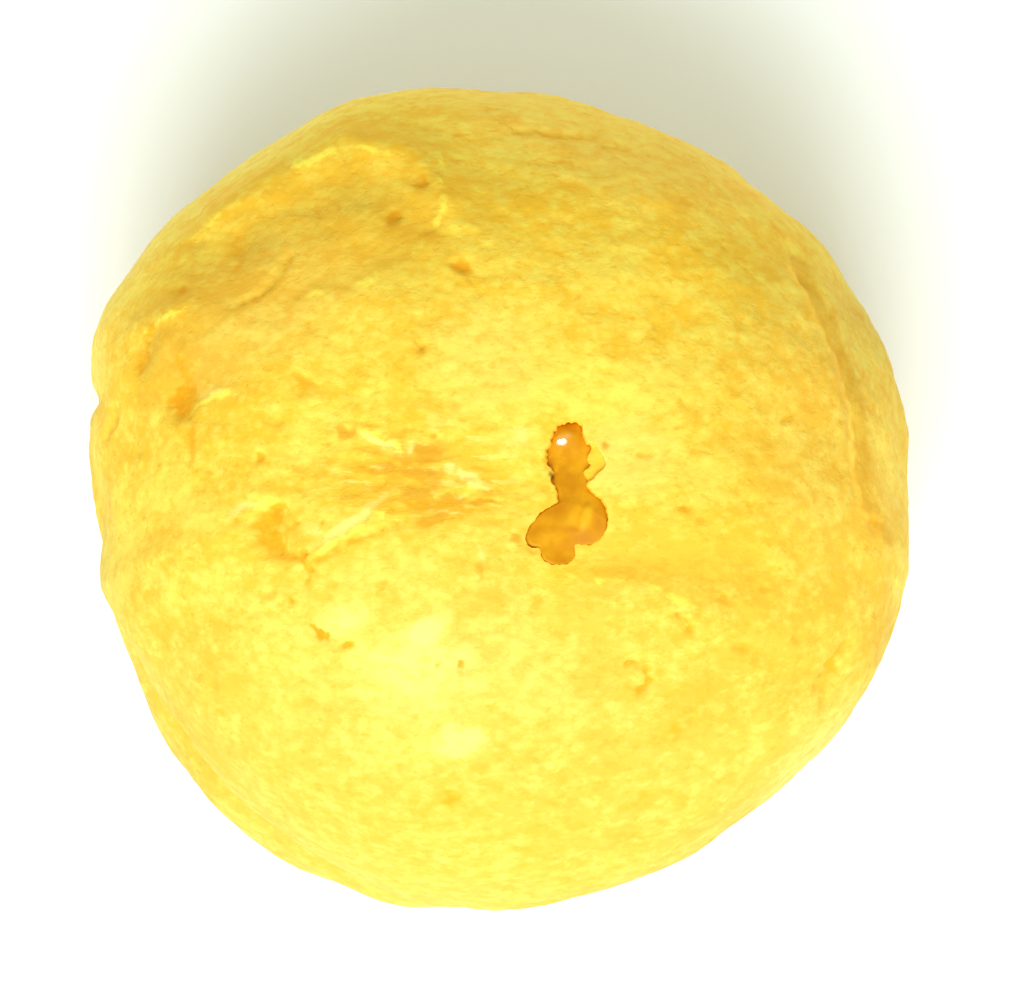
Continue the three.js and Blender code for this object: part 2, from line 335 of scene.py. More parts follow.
# Where the rings are, as turns from the tear's edge. They are near the tear up to the first of these turns,
# then on the dome up to a right angle, just below the waist, on the sides and under the foot.
NEAR_END, WAIST_END, SIDES_END, FOOT_END = 0.45, 1.72, 2.5, math.pi - 0.05
NEAR = NEAR_END * np.linspace(0, 1, 45 // COARSER, endpoint=False) ** 1.2
UP_TO_WAIST = np.linspace(NEAR_END, math.pi / 2, 92 // COARSER, endpoint=False)
BELOW = np.linspace(math.pi / 2, WAIST_END, 10 // COARSER, endpoint=False)
SIDES = np.linspace(WAIST_END, SIDES_END, 34 // COARSER, endpoint=False)
FOOT = np.linspace(SIDES_END, FOOT_END, 10)
turns = [(t, FEW) for t in NEAR]
turns += [(t, MANY) for t in [*UP_TO_WAIST, *BELOW]]
turns += [(t, FEW) for t in [*SIDES, *FOOT]]
outer = [directions(tear_circles, turn, corners) for turn, corners in turns]
print(len(outer), "rings on the outside,", sum(len(ring) for ring in outer), "corners")

# %% [markdown]
# ## Relief in the skin
#
# Close up, the skin is a mass of crumbs less than a millimetre across, drawn out a little from left to
# right. On top of that lie the things an eye picks out one by one: round pits where a bubble burst,
# slits and cracks, a panel at the upper left whose top layer has peeled off, a popped bubble with a
# flap, and a patch of puckered, fibrous skin left of the tear. Each is a place, a size and a height,
# and some of them also show deeper, amber dough, so the functions return that share too.

# %% Pits, slits and dents
# x, y, half length, half width, turn, depth, amber share.
PITS = [
    (-6.2, 15.8, 0.62, 0.45, 60, 0.28, 1.0),
    (-4.5, 18.1, 0.6, 0.5, 0, 0.18, 0.7),
    (-3.9, 14.7, 0.4, 0.25, 40, 0.15, 0.5),
    (-1.8, 12.2, 0.65, 0.45, -15, 0.35, 0.9),
    (-1.3, 11.2, 0.25, 0.2, 0, 0.15, 0.4),
    (-19.8, 11.6, 0.45, 0.35, 30, 0.3, 0.6),
    (-4.4, 6.8, 0.35, 0.25, 20, 0.3, 0.5),
    (-11.1, 8.5, 0.45, 0.35, 0, 0.1, 0.5),
    (-10.9, 16.5, 0.9, 0.5, 10, 0.1, 0.15),
    (-8.3, 17.2, 0.9, 0.5, 0, 0.1, 0.15),
    (-19.45, 4.6, 1.3, 0.95, 70, 0.24, 1.0),
    (-19.7, 6.5, 1.5, 0.5, 85, 0.1, 0.5),
    (-13.7, -3.5, 1.1, 0.65, 45, 0.2, 1.0),
    (-13.8, -4.6, 1.3, 0.45, -50, 0.25, 0.95),
    (-12.6, -3.9, 0.7, 0.6, 0, 0.1, 0.4),
    (-16.0, -3.6, 0.45, 0.18, 0, 0.12, 0.5),
    (-12.0, -3.8, 0.25, 0.16, 0, 0.1, 0.6),
    (-10.5, -3.9, 0.22, 0.15, 0, 0.1, 0.6),
    (-11.6, 4.9, 1.1, 0.8, -30, 0.25, 0.45),
    (-14.4, 0.3, 0.5, 0.25, 70, 0.25, 0.7),
    (-13.2, 2.6, 0.4, 0.25, 20, 0.15, 0.4),
    (-12.3, -8.6, 0.3, 0.25, 60, 0.2, 0.6),
    (-10.7, -10.6, 0.7, 0.25, -30, 0.35, 1.0),
    (-9.0, -11.3, 0.35, 0.24, -20, 0.3, 0.9),
    (-1.9, -12.5, 0.35, 0.22, 30, 0.15, 0.6),
    (-3.3, -12.5, 0.35, 0.22, 60, 0.15, 0.4),
    (-2.5, -20.6, 0.9, 0.5, 0, 0.1, 0.6),
    (11.9, -3.0, 0.4, 0.22, 0, 0.2, 0.6),
    (13.0, -3.6, 0.3, 0.2, 0, 0.15, 0.4),
    (9.3, 0.4, 0.5, 0.3, 35, 0.15, 0.4),
    (11.8, 3.7, 0.5, 0.3, 0, 0.15, 0.3),
    (18.4, 3.0, 0.4, 0.3, 60, 0.2, 0.35),
    (14.3, -8.4, 0.45, 0.3, -30, 0.2, 0.4),
    (16.8, -7.7, 0.35, 0.2, 0, 0.15, 0.3),
    (15.4, -11.3, 0.5, 0.35, 0, 0.15, 0.4),
    (18.9, -10.7, 0.35, 0.3, 0, 0.15, 0.4),
    (24.3, -3.3, 0.7, 0.3, -50, 0.3, 0.5),
    (11.3, -16.5, 0.9, 0.6, 0, 0.1, 0.4),
    (9.7, -20.4, 0.8, 0.5, 0, 0.1, 0.3),
]
# The line that each crack follows, half width, depth, amber share.
CRACKS = [
    ([(-12.8, 13.4), (-13.2, 12.6), (-13.9, 11.4), (-14.7, 10.8), (-16.2, 10.1)], 0.22, 0.3, 0.35),
    ([(-16.6, 15.2), (-16.1, 14.0), (-16.4, 12.8)], 0.45, 0.15, 0.35),
    ([(-4.5, 8.7), (-4.3, 6.8)], 0.2, 0.15, 0.3),
    ([(-21.6, 9.2), (-21.9, 8.2), (-22.5, 6.6)], 0.4, 0.12, 0.7),
    ([(-19.0, 3.6), (-19.0, 2.7), (-18.9, 0.6)], 0.28, 0.2, 0.45),
    ([(-24.2, 4.5), (-24.3, 3.4), (-25.0, 2.6)], 0.18, 0.2, 0.4),
    ([(-14.8, -3.7), (-14.0, -5.0), (-13.1, -5.7), (-11.8, -5.8)], 0.3, 0.2, 0.6),
    ([(-11.6, -5.9), (-11.3, -7.3)], 0.22, 0.2, 0.7),
    ([(-10.7, -6.1), (-8.6, -4.9), (-5.4, -3.7)], 0.26, 0.25, 0.5),
    ([(-4.9, -2.8), (-3.1, -3.0), (-1.2, -3.1)], 0.25, 0.03, 0.5),
    ([(8.4, -12.4), (9.5, -12.7), (9.8, -13.3), (9.6, -13.9), (9.1, -14.1)], 0.25, 0.3, 0.6),
    ([(11.5, -9.5), (12.3, -10.4)], 0.25, 0.3, 0.6),
    ([(3.4, -20.6), (4.3, -20.9), (5.2, -20.5)], 0.3, 0.15, 0.3),
    ([(5.3, -6.2), (6.6, -6.7), (9.0, -6.9), (11.0, -7.6), (12.1, -8.3)], 0.4, 0.08, 0.0),
    ([(22.4, -10.8), (21.5, -12.1), (20.5, -13.6)], 0.4, 0.3, 0.4),
    ([(1.4, 21.9), (3.4, 21.7), (5.0, 21.6), (6.5, 21.6)], 0.3, 0.25, 0.35),
    ([(7.1, 20.9), (8.4, 20.9)], 0.25, 0.2, 0.3),
]
# The edge that the dome has along the furrow on its right.
DOME_EDGE = [
    (24.7, -3.6), (24.1, -2.8), (23.3, -2.4), (23.1, -1.1), (22.9, 1.1), (22.7, 2.7), (22.4, 4.7),
    (22.0, 6.3), (21.1, 8.0), (20.4, 9.8), (19.4, 11.8), (18.9, 13.0),
]
# The torn edges of thin layers: the line that each follows, its side, its height, how bright it shows (thin
# dough and painted highlight).
# The layer lies on the left of the line's course where the side is 1, and on the right where it's -1.
LIPS = [
    ([(-16.2, 17.1), (-17.5, 16.3), (-19.0, 15.2)], -1, 0.12, 0.6),
    ([(-6.8, 19.9), (-7.9, 20.2), (-8.9, 20.5), (-9.9, 20.3), (-11.0, 20.0), (-12.3, 19.4)], -1, 0.1, 0.75),
    ([(-3.2, 16.0), (-3.3, 17.8), (-3.5, 19.5)], -1, 0.1, 0.5),
    ([(-3.2, 14.7), (-2.3, 14.5), (-1.2, 14.6)], 1, 0.1, 0.4),
    ([(-19.4, 9.9), (-20.6, 9.5), (-21.8, 8.9)], -1, 0.2, 0.9),
    ([(-16.5, 4.7), (-17.5, 4.4), (-18.5, 4.1), (-19.2, 3.6)], 1, 0.08, 0.8),
    ([(-6.4, -2.9), (-8.6, -4.3), (-10.7, -5.6)], 1, 0.12, 0.8),
    ([(-16.4, -3.4), (-14.9, -3.2), (-13.2, -2.5)], 1, 0.15, 0.6),
    ([(-8.2, 1.6), (-7.0, 1.15), (-5.8, 0.55)], 1, 0.12, 0.7),
    ([(-3.2, -2.2), (-1.6, -2.2), (-0.2, -2.3)], 1, 0.1, 0.5),
    ([(6.5, -7.3), (7.9, -7.3), (9.3, -7.5), (10.6, -8.1), (12.3, -8.8)], -1, 0.04, 0.5),
    ([(-3.4, 19.5), (-3.1, 16.0), (-4.4, 14.0), (-5.6, 12.6), (-8.1, 11.3), (-11.8, 10.4)], 1, 0.08, 0.5),
    ([(-14.9, -3.6), (-14.3, -4.8), (-13.2, -5.8), (-12.0, -6.0)], -1, 0.1, 0.0),
    (DOME_EDGE, 1, 0.03, 0.0),
]
# How far the edge falls off beyond the line, and how far it slopes back into the layer.
LIP_STEEP, LIP_LONG = 0.16, 1.2
# Its bright rim, partly painted highlight: how far in from the line, and how wide.
HIGHLIGHT_IN, HIGHLIGHT_WIDE = 0.15, 0.25
# The panel whose top layer has peeled off: its edge, how deep it lies, how soft and how ragged its edge is.
PANEL = [
    (-20.2, 13.8), (-17.6, 16.2), (-14.6, 17.6), (-12.0, 19.5), (-9.5, 20.3), (-7.2, 19.9), (-3.4, 19.5),
    (-3.1, 16.0), (-4.4, 14.0), (-5.6, 12.6), (-8.1, 11.3), (-11.8, 10.6), (-17.3, 9.6),
]
PANEL_DOWN, PANEL_SOFT, PANEL_STRAYS = 0.08, 1.0, 3
# How far outlines stray: the stray's height and length in two sizes.
STRAY, FINE_STRAY = (0.35, 1.8), (0.12, 0.5)
# The puckered patch left of the tear: an oval, and the height and size of its fibres.
PUCKER = (-5.2, -0.6, 7.0, 3.6, -6)
FIBRES, FIBRE_SIZE = 0.16, 0.9
# Uneven crumbs and round ones: how high they stand and how large they are.
CRUMBS, UNEVEN_SIZE = 0.085, 1.5
ROUND_CRUMBS, CRUMB_SIZE = 0.02, 0.75
# Squeezing the places that a pattern is read at draws the pattern out, here from left to right.
DRAW_OUT_CRUMBS, DRAW_OUT_FIBRES = (0.7, 1, 1), (0.22, 1, 1)
# Pits strewn over the whole puff: how many, and how much amber a millimetre of depth shows, partly amber
# dough and partly painted shade that deepens with the pit.
STRAY_PITS, AMBER_AND_SHADE_PER_MM = 160, 1.4
# The puff's typical radius, for distances along its skin.
TYPICAL_REACH = 24
# Where the crease is open, a slit runs deep under the dome's edge.
SLIT_DEEP, SLIT_HALF = 0.6, 0.035
# How much calmer the skin is right by the tear, and over what distance that fades.
CALM_BY_TEAR, CALM_REACH = 0.7, 0.5
# How deep a gap between crumbs is where its painted shade, a golden tint, is full.
GAP_SHADE_DEPTH = 0.2
# Marks on the dome and on the belt fade in between these heights, as the upward part of a direction.
DOME_FADE, BELT_FADE = (0.02, 0.2), (-0.4, -0.1)

# %% [markdown]
# ## Tints
#
# No two patches of a baked skin have quite the same colour. The oven leaves it lighter here and deeper
# there, the filling has stained the puckered patch, and pale, floury streaks cross it. Like the pits,
# each tint is an oval with a share, so that one short line puts one mark on the puff. Some marks here
# are painted light and shade: spots painted brighter or darker, painted sheen along the rim, and
# painted shade in the crease and beside the dome's edge.

# %% Tints that the oven and the filling left, and painted light and shade
# Each is an oval: x, y, half length, half width, turn, share.
# Orange-brown stains, most of them in the puckered patch.
STAINS = [
    (-3.9, 0.4, 1.2, 0.55, -12, 1.0),
    (-3.5, 1.35, 0.35, 0.22, 0, 0.6),
    (-4.7, 1.9, 0.4, 0.25, 0, 0.4),
    (-9.2, 1.75, 0.9, 0.4, -10, 0.9),
    (-5.2, -0.15, 0.7, 0.35, -20, 0.9),
    (-6.6, -0.6, 1.7, 0.5, -4, 0.8),
    (-4.6, -0.9, 1.8, 0.55, -16, 0.9),
    (-4.1, -2.5, 1.0, 0.9, 0, 0.95),
    (-2.6, -2.55, 1.1, 0.4, 0, 0.95),
    (-3.6, -3.7, 1.1, 0.4, 14, 1.0),
    (3.3, 0.1, 0.3, 1.1, 5, 0.5),
    (-0.9, -2.7, 1.5, 0.25, -2, 0.7),
    (-0.2, -1.4, 0.35, 0.22, 0, 0.6),
    (0.3, 0.5, 0.5, 0.4, 0, 0.35),
    (-0.8, -6.8, 0.55, 0.6, 0, 0.5),
    (1.4, -4.8, 0.6, 0.4, -20, 0.6),
    (2.6, -5.5, 0.6, 0.3, -10, 0.55),
    (-7.0, 0.3, 0.7, 0.3, 0, 0.4),
    (-2.4, 3.2, 0.7, 0.3, -10, 0.3),
    (-1.2, 2.5, 0.5, 0.25, 0, 0.3),
    (3.1, -1.9, 0.3, 0.45, 0, 0.4),
    (6.9, 0.9, 0.3, 0.4, 0, 0.5),
    (-10.2, 16.6, 1.8, 0.6, 8, 0.35),
    (13.6, -8.7, 0.5, 0.35, 0, 0.5),
]
# Soft golden blotches further out.
BLOTCHES = [
    (-17.5, -12.7, 0.8, 0.5, -60, 0.6),
    (-15.6, -13.1, 0.9, 0.7, 0, 0.5),
    (-11.8, -14.6, 0.9, 0.5, 0, 0.5),
    (-14.3, -15.4, 0.8, 0.5, -40, 0.4),
    (-8.6, -20.7, 1.0, 0.5, -30, 0.5),
    (-4.6, -24.7, 1.0, 0.7, 0, 0.6),
    (-2.5, -20.6, 1.2, 0.5, 0, 0.8),
    (-4.4, -20.9, 0.7, 0.4, 0, 0.4),
    (1.8, -18.3, 0.9, 0.5, 0, 0.35),
    (3.5, -25.0, 1.2, 0.6, 0, 0.5),
    (6.8, -18.9, 0.9, 0.6, 0, 0.4),
    (9.7, -20.4, 0.9, 0.6, 0, 0.6),
    (11.3, -16.5, 0.9, 0.6, 0, 0.5),
    (12.3, -14.0, 0.8, 0.7, 20, 0.5),
    (14.2, -12.2, 0.7, 0.6, 0, 0.4),
    (12.3, -8.0, 1.4, 0.6, -20, 0.5),
    (10.1, -8.7, 0.8, 0.4, 0, 0.4),
    (-9.8, -6.2, 0.7, 0.5, 0, 0.5),
    (-13.8, 2.3, 0.8, 0.4, 0, 0.5),
    (-11.2, 8.6, 0.7, 0.45, 0, 0.5),
    (-3.8, 14.6, 1.0, 0.5, 30, 0.4),
    (7.0, 8.0, 0.8, 0.5, 0, 0.3),
    (14.0, 6.0, 0.8, 0.5, 0, 0.3),
    (17.0, -1.0, 0.7, 0.6, 0, 0.3),
    (8.6, -6.9, 2.8, 0.6, -14, 0.9),
    (11.5, -7.7, 1.4, 0.4, -30, 0.7),
    (-19.6, 7.3, 0.7, 1.7, -10, 1.0),
    (-19.9, 8.8, 1.3, 0.55, 0, 0.8),
    (-21.9, 8.0, 0.6, 1.1, -15, 0.9),
    (-21.5, 4.6, 1.2, 0.9, 0, 0.7),
    (14.0, -5.9, 2.5, 0.7, 0, 0.4),
]
# Pale patches and streaks, where the skin is floury or has lifted.
PALE_SPOTS = [
    (-7.0, 1.15, 1.4, 0.16, -24, 0.8),
    (-6.0, 0.7, 0.6, 0.26, -24, 0.5),
    (-5.0, 0.65, 0.25, 0.35, 10, 0.8),
    (-2.6, -0.65, 0.35, 0.35, 0, 0.9),
    (-1.6, -1.05, 1.1, 0.32, -22, 1.0),
    (-0.9, -1.65, 0.6, 0.2, -10, 0.8),
    (-1.9, -2.3, 0.3, 0.15, 20, 0.6),
    (-3.7, -3.0, 0.3, 0.2, 0, 0.7),
    (-2.5, -3.3, 1.0, 0.1, 4, 0.85),
    (-0.6, -5.9, 0.35, 0.3, -30, 0.6),
    (1.7, 1.3, 1.1, 0.7, 20, 0.5),
    (-3.9, -10.6, 1.6, 0.9, 40, 1.0),
    (-4.5, -13.2, 4.0, 2.8, 0, 0.55),
    (-9.0, -9.6, 1.6, 1.0, 20, 0.5),
    (-2.0, -17.1, 1.8, 1.2, 0, 0.7),
    (-15.4, -2.7, 1.1, 0.35, 14, 0.8),
    (-8.6, -3.9, 2.6, 0.35, 34, 0.9),
    (-11.0, -4.3, 0.8, 0.5, 0, 0.5),
    (-17.6, 4.6, 1.0, 0.25, 10, 0.5),
]
# Broad parts of the skin that came out golden.
DEEPER = [
    (-11.2, 14.6, 9.5, 5.2, 17, 0.5),
    (-19.8, 7.5, 3.2, 4.5, 20, 0.3),
    (-4.2, -0.6, 5.0, 2.6, -8, 0.5),
]
# How wide and how golden the skin is just beyond the dome's edge on the right: partly a deeper golden belt,
# partly painted shade beside the edge.
GOLDEN_SHADE_BAND_WIDE, GOLDEN_SHADE_BAND_SHARE = 1.1, 1.4
# Broad parts that are lighter (above 0) or deeper (below 0) in tone.
TONES = [
    (10.5, 1.5, 4.0, 4.5, 0, 0.7),
    (7.0, -0.8, 2.5, 1.8, 0, 0.9),
    (12.0, -6.2, 5.5, 2.0, 0, -0.8),
    (9.2, -5.8, 3.2, 1.3, -8, -1.3),
    (8.2, -3.2, 1.8, 1.2, 0, -0.6),
    (12.3, -9.0, 3.6, 1.4, 0, 0.9),
    (4.2, -9.4, 2.2, 1.5, -10, -0.9),
    (-23.5, -2.5, 4.0, 4.0, 0, 0.5),
    (-24.0, 1.3, 2.0, 2.2, 0, -1.0),
    (-23.5, -5.5, 3.5, 2.5, 0, 0.4),
    (-17.7, -3.1, 2.0, 1.5, 0, 1.0),
    (12.0, 24.0, 12.0, 4.0, -30, 0.4),
    (8.0, 22.0, 8.0, 3.0, -20, 0.3),
    (12.8, 10.5, 3.0, 2.5, 0, -0.6),
    (12.0, 16.5, 3.0, 2.0, 0, -0.5),
    (2.5, 16.5, 3.0, 2.0, 0, -0.4),
    (25.5, 8.0, 10.0, 3.0, 105, 0.2),
    (-19.5, 7.5, 5.0, 6.0, 0, -0.5),
    (-13.0, 9.0, 5.5, 3.2, 0, 0.35),
    (-11.0, 6.0, 3.0, 1.5, 0, 0.3),
    (-5.2, 6.3, 2.0, 2.0, 0, -0.5),
    (-5.2, 4.0, 1.5, 4.0, 0, -0.6),
    (0.8, 4.2, 4.0, 2.5, 0, 0.8),
    (2.5, 7.0, 4.0, 3.0, 0, 0.4),
    (-2.0, 6.0, 4.5, 4.0, 0, 0.3),
    (-4.0, -1.0, 6.0, 3.5, 0, -0.3),
    (-4.5, -12.5, 5.5, 4.0, 0, 0.5),
    (17.0, -9.5, 3.0, 3.0, 0, -0.5),
    (23.2, -6.4, 2.2, 2.8, 0, -0.9),
    (19.9, 3.3, 1.5, 2.4, 10, -0.9),
    (14.0, -12.3, 7.0, 3.2, 0, -0.8),
    (4.3, -15.6, 2.4, 1.8, 0, 0.8),
    (16.7, -3.1, 2.0, 1.5, 0, -0.7),
    (-5.3, 15.6, 2.0, 1.6, 0, -0.7),
    (10.0, -16.0, 8.0, 3.0, 0, -0.5),
    (4.0, -21.0, 14.0, 5.0, 0, -0.6),
    (-17.0, -15.0, 7.0, 5.0, -45, -0.5),
]
# Painted light and shade: broad parts painted brighter (above 0) or darker (below 0).
PAINTED_LIGHT_SPOTS = [
    (6.0, 24.0, 13.0, 3.5, -10, 0.8),
    (14.0, 17.0, 9.0, 5.0, -35, 0.25),
    (0.0, 18.0, 10.0, 5.0, 0, 0.15),
    (22.5, 5.0, 3.0, 8.0, 15, -0.15),
    (4.2, -7.0, 2.0, 1.3, 0, 0.8),
    (16.0, 10.0, 4.0, 3.0, 0, -0.35),
    (-20.0, 7.5, 5.0, 4.5, 0, -0.3),
    (-6.2, 15.8, 0.8, 0.7, 60, -0.8),
    (-4.5, 18.1, 0.8, 0.6, 0, -0.5),
    (-8.3, 17.3, 2.5, 1.3, 10, -0.6),
    (-15.2, 14.5, 1.6, 1.4, 0, -0.5),
    (-14.5, 11.3, 4.0, 1.6, 15, 0.5),
    (-8.5, 13.8, 2.5, 1.3, 15, 0.4),
]
# Painted light along the dome's edge on the right, and painted shade a little dimmer in the golden band
# beyond it.
EDGE_PAINTED_LIGHT, BAND_PAINTED_SHADE = 0.6, 0.25
# How golden the painted shade in the open crease is.
CREASE_PAINTED_SHADE = 0.3
# Painted sheen, where the skin shows lighter along the rim: bearing, how far it runs to either side, how
# much.
RIM_SHEEN = [(135, 42, 0.85), (42, 14, 0.5), (-1, 15, 0.7), (183, 10, 0.2)]
# And where it's paler, partly floury and partly painted sheen.
RIM_FLOUR_AND_SHEEN = [(135, 45, 0.5), (200, 14, 0.3), (248, 24, 0.15), (-10, 12, 0.35), (-40, 12, 0.5)]
# Broad parts where the dough is creamier.
CREAMY = [
    (0.0, -21.0, 30.0, 16.0, 0, 1.0),
    (-16.0, -10.0, 4.0, 4.0, 0, 0.3),
    (23.0, 5.0, 7.0, 16.0, 0, 0.6),
    (8.0, 22.0, 15.0, 5.0, -20, 0.8),
    (-14.0, 11.0, 6.0, 4.0, 20, 0.8),
    (-17.8, 6.8, 3.2, 2.4, 0, 0.8),
    (-1.0, 6.0, 4.0, 3.5, 0, 0.5),
    (8.0, 0.0, 3.0, 2.5, 0, 0.7),
]
# Where small golden mottles are scattered through it.
MOTTLED = [(13.5, -11.5, 8.5, 6.0, 0, 1.0), (1.0, -21.0, 17.0, 5.0, 0, 0.8), (17.0, 1.0, 5.0, 8.0, 10, 0.5)]
# Where it has dried into fine crinkles.
CRINKLED = [
    (5.5, -10.0, 7.0, 3.5, -8, 1.0),
    (-3.5, -13.0, 6.0, 5.5, 30, 1.0),
    (13.5, -9.5, 4.0, 4.0, 0, 0.7),
    (-9.5, -3.5, 4.0, 2.0, 25, 0.6),
    (-2.0, -18.0, 5.0, 3.0, 0, 0.6),
    (-14.0, 12.5, 6.0, 3.0, 25, 0.6),
    (-13.0, 4.0, 6.0, 3.5, 0, 0.35),
]

# %% [markdown]
# ## Laying the marks on the skin
#
# A neat oval would look drawn on. So every place is pushed about a little by noise before it's measured
# against an oval or a line, which frays all outlines alike. The ovals' own middles are pushed the same
# way first, so that each mark still lands where it belongs.

# %% Ragged outlines
def stray(x, y):
    """Places seen from above, pushed about a little, so that an outline drawn there comes out ragged."""
    plan = np.column_stack([x, y, np.zeros(len(x))])
    push = 0
    for far, long in (STRAY, FINE_STRAY):
        push = push + far * np.column_stack([grain(plan + 40, long, 3), grain(plan - 40, long, 3)])
    return (plan[:, :2] + push).T


def settled(spots):
    """The same ovals or corners, pushed about like the skin's places, so that they meet again."""
    x, y = stray(*np.array([spot[:2] for spot in spots]).T)
    return [(a, b, *spot[2:]) for a, b, spot in zip(x, y, spots)]


def most_of(spots, x, y, soften=4):
    """The largest share that any of these ovals has at each place."""
    shares = [share * np.exp(-(oval(x, y, *where) ** soften)) for *where, share in settled(spots)]
    return np.max(shares, axis=0)


def all_of(spots, x, y):
    """The sum of the shares that these ovals have at each place, each fading out softly."""
    return sum(share * np.exp(-(oval(x, y, *where) ** 2)) for *where, share in spots)


def along_rim(stretches, bearing):
    """The sum of the shares that these stretches of the rim have at each bearing."""
    return sum(share * np.exp(-((turn_between(b, bearing) / run) ** 4)) for b, run, share in stretches)


def inside_share(corners, x, y, soft):
    """1 well inside a closed line of corners, 0 outside, over a soft edge."""
    inside = np.zeros(np.shape(x), bool)
    for (ax, ay), (bx, by) in zip(corners, corners[1:] + corners[:1]):
        crosses = (ay > y) != (by > y)
        inside ^= crosses & (x < (bx - ax) * (y - ay) / (by - ay + 1e-9) + ax)
    away = distance_to_line(corners + corners[:1], x, y)
    return smooth(-soft, soft, np.where(inside, away, -away))


# %% Pits, torn edges and strays
def pits_and_cracks(x, y):
    """How deep pits and cracks go at each place, and the share of amber that they show."""
    deep = np.zeros(len(x))
    amber = np.zeros(len(x))
    for *where, depth, share in settled(PITS):
        shape = np.exp(-(oval(x, y, *where) ** 3))
        deep += depth * shape
        amber = np.maximum(amber, share * shape)
    for line, wide, depth, share in CRACKS:
        shape = np.exp(-((distance_to_line(settled(line), x, y) / wide) ** 2))
        deep += depth * shape
        amber = np.maximum(amber, share * shape)
    return deep, amber


def torn_edges(x, y, broken):
    """How far the torn edges of thin layers stand up, and how bright they show: partly thinner dough, partly
    a painted highlight.
    """
    stands = np.zeros(len(x))
    thin_edge_highlight = np.zeros(len(x))
    for line, layer_side, height, share in LIPS:
        across = layer_side * distance_to_line(settled(line), x, y, signed=True)
        ahead = np.exp(-((across / np.where(across > 0, LIP_LONG, LIP_STEEP)) ** 2))
        stands += height * ahead * (0.4 + 0.6 * broken)
        rim = np.exp(-(((across - HIGHLIGHT_IN) / HIGHLIGHT_WIDE) ** 2))
        thin_edge_highlight = np.maximum(thin_edge_highlight, share * broken * rim)
    return stands, thin_edge_highlight


def stray_pits(direction):
    """How deep the strewn pits go in each direction: all of them together, and the deepest one."""
    draw = np.random.default_rng(7)
    spots = draw.normal(size=(STRAY_PITS, 3))
    spots /= np.linalg.norm(spots, axis=1)[:, None]
    sizes = draw.uniform(0.2, 0.5, STRAY_PITS)
    depths = draw.uniform(0.05, 0.2, STRAY_PITS)
    together = np.zeros(len(direction))
    deepest = np.zeros(len(direction))
    for spot, size, depth in zip(spots, sizes, depths):
        # From the cosine to the distance squared on a ball as large as the puff.
        apart = (1 - direction @ spot) * 2 * TYPICAL_REACH**2
        pit = depth * np.exp(-((apart / size**2) ** 2))
        together += pit
        deepest = np.maximum(deepest, pit)
    return together, deepest


# %% [markdown]
# ## One function for the relief, one for the tints
#
# Both look at the same pushed places, so a pit's amber always lies in the pit. The relief is worked out
# on places that the broad form has already moved, because a mark on a slope would otherwise slide off
# sideways. What fades out towards the waist is multiplied by `dome`, which is 1 on the top.

# %% Relief and tints
marks = {}


def tints(x, y, direction, broken):
    """The share of each tint that has places of its own."""
    bearing, up = bearing_of(direction), direction[:, 2]
    dome = smooth(*DOME_FADE, up)
    above = smooth(*BELT_FADE, up)
    beyond = -distance_to_line(settled(DOME_EDGE), x, y, signed=True)
    # Beyond the dome's edge: a deeper golden belt and painted shade beside the edge.
    golden_shade_band = smooth(-0.05, 0.1, beyond) * smooth(GOLDEN_SHADE_BAND_WIDE + 0.4, GOLDEN_SHADE_BAND_WIDE - 0.3, beyond)
    golden_shade_band *= 0.6 + 0.4 * broken
    golden = np.maximum(most_of(BLOTCHES, x, y, 2) + most_of(DEEPER, x, y), GOLDEN_SHADE_BAND_SHARE * golden_shade_band)
    # Painted shade in the open crease.
    crease_shade = opening(bearing) * np.exp(-(((up + 0.03) / 0.08) ** 2))
    # Painted light along the dome's edge.
    lit_edge = np.exp(-(((beyond + 0.05) / 0.3) ** 2))
    # Painted light and shade from the broad spots, and painted sheen along the rim.
    painted_light = above * (all_of(PAINTED_LIGHT_SPOTS, x, y) + along_rim(RIM_SHEEN, bearing) * smooth(0.6, 0.25, up))
    # The rim is paler, partly floury and partly painted sheen.
    flour_and_sheen_rim = along_rim(RIM_FLOUR_AND_SHEEN, bearing) * smooth(0.45, 0.15, up) * above
    return {
        "pale": np.maximum(dome * most_of(PALE_SPOTS, x, y, 3), flour_and_sheen_rim),
        "stain": dome * most_of(STAINS, x, y, 2),
        # Golden blotches and parts, with the painted shade of the crease and beside the dome's edge.
        "deep": np.maximum(dome * golden, CREASE_PAINTED_SHADE * crease_shade),
        "tone": all_of(TONES, x, y),
        "painted_light": painted_light + dome * (EDGE_PAINTED_LIGHT * lit_edge - BAND_PAINTED_SHADE * golden_shade_band),
        "creamy": most_of(CREAMY, x, y),
        "mottled": most_of(MOTTLED, x, y),
        "crinkled": dome * most_of(CRINKLED, x, y, 2),
        "fibrous": dome * np.exp(-(oval(x, y, *PUCKER) ** 4)),
    }


